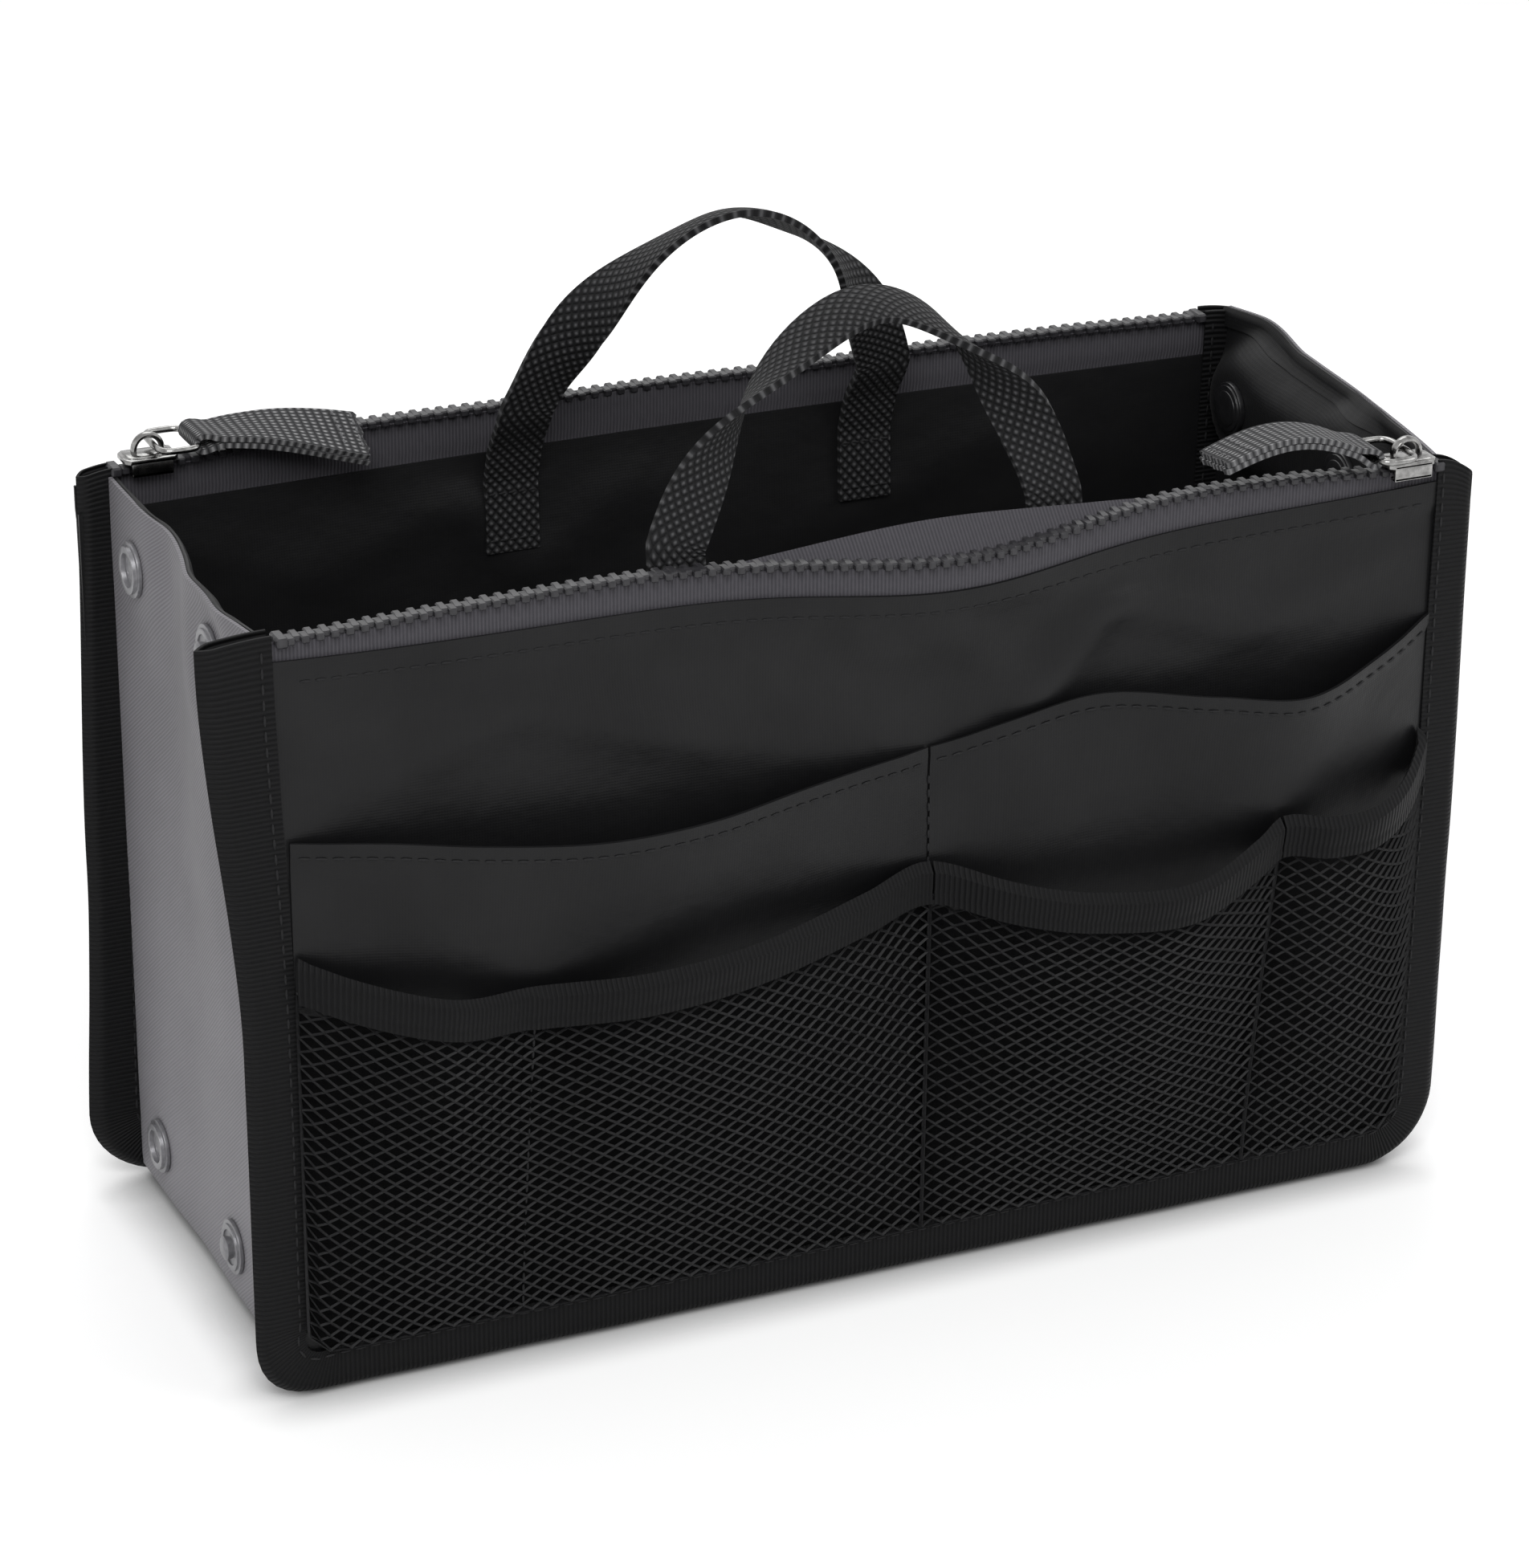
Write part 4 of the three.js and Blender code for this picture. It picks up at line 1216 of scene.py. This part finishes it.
strip = {
    "side": 136,
    "corner": 5,
    "half": 53.2,
    "clear": 0.3,
    "dip": (2.5, -1.5),
    "rows": (-53.2, -38, -20, -5, 8, 20, 34, 53.2),
    "left": (0, -1.4, -3.0, -1.6, 1.2, 2.8, 1.8, 0),
    "right": (-1.5, -3.6, -5.2, -6.4, -7.4, -8.4, -9.2, -6.5),
    "shell": 0.8,
    "liningDepth": 1.15,
    "lining": 0.55,
    "hem": 4.2,
    "hemBack": 0.9,
    "hemDepth": 1.55,
    "hemLower": 0.35,
    "hemLayer": 0.35,
    "seam": 3.2,
    "seamDepth": 2.15,
    "seamHalf": 49,
    "pleat": 0.5,
    "rearRise": 3.2,
    "calmTall": 1.15,
    "calmRadius": 8.5,
    "calmFade": 12,
    "flatHeight": 154,
    "flatRadius": 6,
    "blendFrom": (0, -0.015, 0.08),
    "blendTo": (0, 0.036, 0.08),
}


def calmNearSnaps(y, z):
    # the cloth lies flat under each snap
    calm = np.ones_like(y)
    for snapY in (snap["front"], snap["rear"]):
        for snapZ in snap["heights"].values():
            away = np.hypot(y - snapY, strip["calmTall"] * (z - snapZ))
            calm = calm * smooth((away - strip["calmRadius"]) / strip["calmFade"])
    return calm


def calmBetweenSnaps(y, z):
    # the right end lies flat from one top snap to the other
    middle = (snap["front"] + snap["rear"]) / 2
    past = np.maximum(np.abs(y - middle) - (snap["rear"] - middle), 0)
    away = np.hypot(past, z - strip["flatHeight"])
    return smooth((away - strip["flatRadius"]) / strip["calmFade"])


def stripPoint(s, y, depth, lower=0):
    height = panel["height"] - strip["clear"]
    x, z, nx, nz = outlineAt(s, strip["side"], height, strip["corner"])
    onLeft = s < 0.5
    sag = np.where(onLeft, *strip["dip"]) * (1 - (y / strip["half"]) ** 2) + lower
    sag = sag - np.where(onLeft, 0, strip["rearRise"]) * smooth((y - 20) / 22)
    tall = height - strip["corner"]
    z = np.where(z > strip["corner"], strip["corner"] + (z - strip["corner"]) * (tall - sag) / tall, z)
    lift = smooth((z - strip["corner"]) / (panel["height"] - strip["corner"]))
    fold = np.where(onLeft, *(curveThrough(y, strip["rows"], strip[side]) for side in ("left", "right")))
    wave = 0.4 * ripple(y, z, 17, 7.0) * smooth((strip["half"] - np.abs(y)) / 8) * smooth((z - 8) / 20)
    fold = fold * np.where(onLeft, 1, calmBetweenSnaps(y, z))
    inward = depth + (fold * lift + wave) * calmNearSnaps(y, z)
    # the cloth between the snaps stands a little inward low down, where the fold starts
    middle = (y * mm - strip["blendFrom"][1]) / (strip["blendTo"][1] - strip["blendFrom"][1])
    inward = inward + strip["pleat"] * (1 - lift) * np.sin(math.pi * np.clip(middle, 0, 1)) ** 2
    px = (x - inward * nx) * spread(z)
    return px, y, z - inward * nz


def makeStrip():
    length = outlineLength(strip["side"], panel["height"], strip["corner"])
    flat = (length, 2 * strip["half"])

    def shell(u, v):
        return stripPoint(u, (1 - 2 * v) * strip["half"], 0.0)

    def lining(u, v):
        return stripPoint(u, (1 - 2 * v) * strip["half"], strip["liningDepth"])

    outside = gridSheet("gussetShell", 240, 60, shell, flat)
    thicken(outside, strip["shell"])
    finishPiece(outside, "strip", None, ["gusset_shell"])
    inside = gridSheet("gussetLining", 240, 60, lining, flat)
    thicken(inside, strip["lining"])
    finishPiece(inside, "lining", None, ["gusset_lining"])
    hems = []
    for label, edge, side in (("Left", 0, 1), ("Right", 1, -1)):
        def rolled(u, v):
            y = side * (1 - 2 * u) * strip["half"]
            q = 2 * v - 1
            drop = np.where(q > 0, q * strip["hemBack"], -q * strip["hem"])
            depth = strip["hemDepth"] - 0.5 * quarterWave(q / 0.2)
            px, py, pz = stripPoint(edge + side * drop / length, y, depth, strip["hemLower"])
            return px, py, pz + 0.25 * ripple(y, v, 4, 3.0)

        hem = gridSheet(f"gussetHem{label}", 90, 12, rolled, (2 * strip["half"], 6))
        thicken(hem, strip["hemLayer"])
        finishPiece(hem, "lining", None)
        y = np.linspace(-strip["seamHalf"], strip["seamHalf"], 60)
        line = stripPoint(np.full(60, edge + side * strip["seam"] / length), y, strip["seamDepth"])
        row = seamRow(f"gussetHemStitches{label}", line, (side, 0, 0), None)
        hems.extend([hem, row])
    for piece in [outside, inside, *hems]:
        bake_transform(piece)


# snaps: each kind is shaped once and copied

snap = {
    "radius": 6.2,
    "plate": 0.9,
    "seat": 0.15,
    "capDepth": 1.75,
    "front": -15,
    "rear": 36,
    "heights": {"top": 156, "bottom": 16},
}


def startDisc(radius, depth, low):
    deselectAll()
    middle = (0, 0, low + depth / 2)
    bpy.ops.mesh.primitive_cylinder_add(vertices=40, radius=radius, depth=depth, location=middle)
    model = bpy.context.object
    bpy.ops.object.transform_apply(location=True, rotation=True, scale=True)
    pickFaces(model, lambda face: face.normal.z > 0.9)
    return model


def raiseFace(inset, lift):
    bpy.ops.mesh.inset(thickness=inset)
    pushFace((0, 0, lift))


def endDisc(model, bevel):
    switchMode("OBJECT")
    easeEdges(model, bevel, 35)
    return takeShape(model)


def shapeSocket():
    model = startDisc(snap["radius"], snap["plate"], snap["seat"])
    raiseFace(0.9, 0.85)
    raiseFace(1.5, -1.0)
    raiseFace(1.3, -0.15)
    return endDisc(model, 0.16)


def shapeStud():
    model = startDisc(snap["radius"], snap["plate"], snap["seat"])
    raiseFace(0.9, 0.5)
    raiseFace(1.3, -0.45)
    raiseFace(1.6, 1.5)
    bpy.ops.transform.resize(value=(1.18, 1.18, 1))
    pushFace((0, 0, 0.5))
    bpy.ops.transform.resize(value=(0.62, 0.62, 1))
    return endDisc(model, 0.16)


def shapeCap():
    model = startDisc(snap["radius"], 0.7, 0)
    for inset, lift in ((0.7, 0.55), (1.3, 0.4), (1.8, 0.2)):
        pushFace((0, 0, lift))
        bpy.ops.mesh.inset(thickness=inset)
    return endDisc(model, 0.25)


def makeSnaps():
    shapes = {"socket": shapeSocket(), "stud": shapeStud(), "cap": shapeCap()}
    for half, y, body in (("stud", snap["front"], "front_side"), ("socket", snap["rear"], "rear_side")):
        for sideName, side in (("left", -1), ("right", 1)):
            for level, z in snap["heights"].items():
                x = side * strip["side"] * spread(np.float64(z))
                label = f"{sideName.title()}{level.title()}"
                node = f"{sideName}_{level}"
                outward = np.array([(0, side, 0), (0, 0, 1), (side, 0, 0)], float)
                inward = np.array([(0, -side, 0), (0, 0, 1), (-side, 0, 0)], float)
                disc = copiesAlong(f"{half}{label}", *shapes[half], [np.array([x, y, z])], [outward])
                finishPiece(disc, "snap", body, [f"{half}_{node}"], 30)
                spot = np.array([x - side * snap["capDepth"], y, z])
                dome = copiesAlong(f"{half}Cap{label}", *shapes["cap"], [spot], [inward])
                finishPiece(dome, "cap", body, [f"{half}_cap_{node}"], 50)


# build

for end, seed in (("front", 1.0), ("rear", 2.6)):
    makeWalls(end, f"{end}_side", seed)
    makeBinding(end, f"{end}_side")
    makeTapes(end, f"{end}_side")
    makeChain(end, f"{end}_side")
    makePullStrap(end)
    makeHandle(end)
    makeSlider(end)
    print(end, "panel made")

for label, left, right, flat in (
    ("left", -slip["half"], slip["divider"] - 0.3, (148, 113)),
    ("right", slip["divider"] + 0.3, slip["half"], (126, 117)),
):
    paintNetShade(makeSlipPocket("front", label, left, right, slipMouth, slipOut, flat))
makeSeamLine("frontPocketSeam", slip["divider"], 98, 120, slipOut)
for label, left, right in (("left", -134, 10.7), ("middle", 11.3, 92.7), ("right", 93.3, 134)):
    makeNet(f"net{label.title()}", f"net_pocket_{label}", left, right)
    makeNetBand(f"netBand{label.title()}", f"net_binding_{label}", left, right)
makeSeamLine("netSlotSeam", -85, 12, 83, netOut)
for label, left, right in (("right", -rearSlip["half"], -0.3), ("left", 0.3, rearSlip["half"])):
    makeSlipPocket("rear", label, left, right, rearMouth, rearOut, (136, 106))
print("pockets made")
makeStrip()
makeSnaps()
print("strip and snaps made")


# floor, backdrop and light

studio = {
    "floor": (0.96, 0.96, 0.96),
    "drop": -0.3,
    "lift": 0.34,
    # reach in mm of the contact shadow painted onto the floor
    "paintedShadowReach": 14,
    "world": 0.3,
    "lamps": (  # name, place, size and strength
        ("key", (-0.55, -0.95, 1.25), 0.8, 13),
        ("fill", (1.1, -0.7, 0.7), 1.0, 5),
        ("back", (0.25, 0.9, 1.3), 0.9, 6),
    ),
}


def backgroundMix(tree, seen, unseen):
    # the camera and mirror reflections see one strength, the light that falls on the part another
    rays = tree.nodes.new("ShaderNodeLightPath")
    camera = mathOn(tree, "MAXIMUM", rays.outputs["Is Camera Ray"], rays.outputs["Is Glossy Ray"])
    return spanOn(tree, camera, unseen, seen)


def makeStudio():
    deselectAll()
    bpy.ops.mesh.primitive_plane_add(size=8, location=(0, 0, studio["drop"] * mm))
    floor = bpy.context.object
    floor.name = "studioFloor"
    material, tree, shader = startMaterial("paleFloor", 0.8)
    # painted shadow: ambient occlusion darkens the floor's colour near the bag
    near = tree.nodes.new("ShaderNodeAmbientOcclusion")
    near.inputs["Distance"].default_value = studio["paintedShadowReach"] * mm
    near.inputs["Color"].default_value = (*studio["floor"], 1)
    tree.links.new(near.outputs["Color"], shader.inputs["Base Color"])
    shader.inputs["Emission Color"].default_value = (1, 1, 1, 1)
    lift = backgroundMix(tree, studio["lift"], 0)
    # painted shadow: the floor's glow for the camera is darkened near the bag as well
    lift = mathOn(tree, "MULTIPLY", lift, near.outputs["AO"])
    tree.links.new(lift, shader.inputs["Emission Strength"])
    floor.data.materials.append(material)
    world = bpy.data.worlds.new("softRoom")
    world.use_nodes = True
    bpy.context.scene.world = world
    tree = world.node_tree
    background = tree.nodes["Background"]
    background.inputs["Color"].default_value = (1, 1, 1, 1)
    strength = backgroundMix(tree, 1.0, studio["world"])
    tree.links.new(strength, background.inputs["Strength"])
    for name, spot, size, power in studio["lamps"]:
        data = bpy.data.lights.new(f"{name}Lamp", "AREA")
        data.energy = power
        data.size = size
        lamp = bpy.data.objects.new(f"{name}Lamp", data)
        lamp.location = spot
        lamp.rotation_mode = "QUATERNION"
        lamp.rotation_quaternion = (Vector((0, 0, 0.08)) - Vector(spot)).to_track_quat("-Z", "Y")
        bpy.context.collection.objects.link(lamp)


makeStudio()
bpy.context.scene.view_settings.view_transform = "Standard"
deselectAll()
print("studio made")
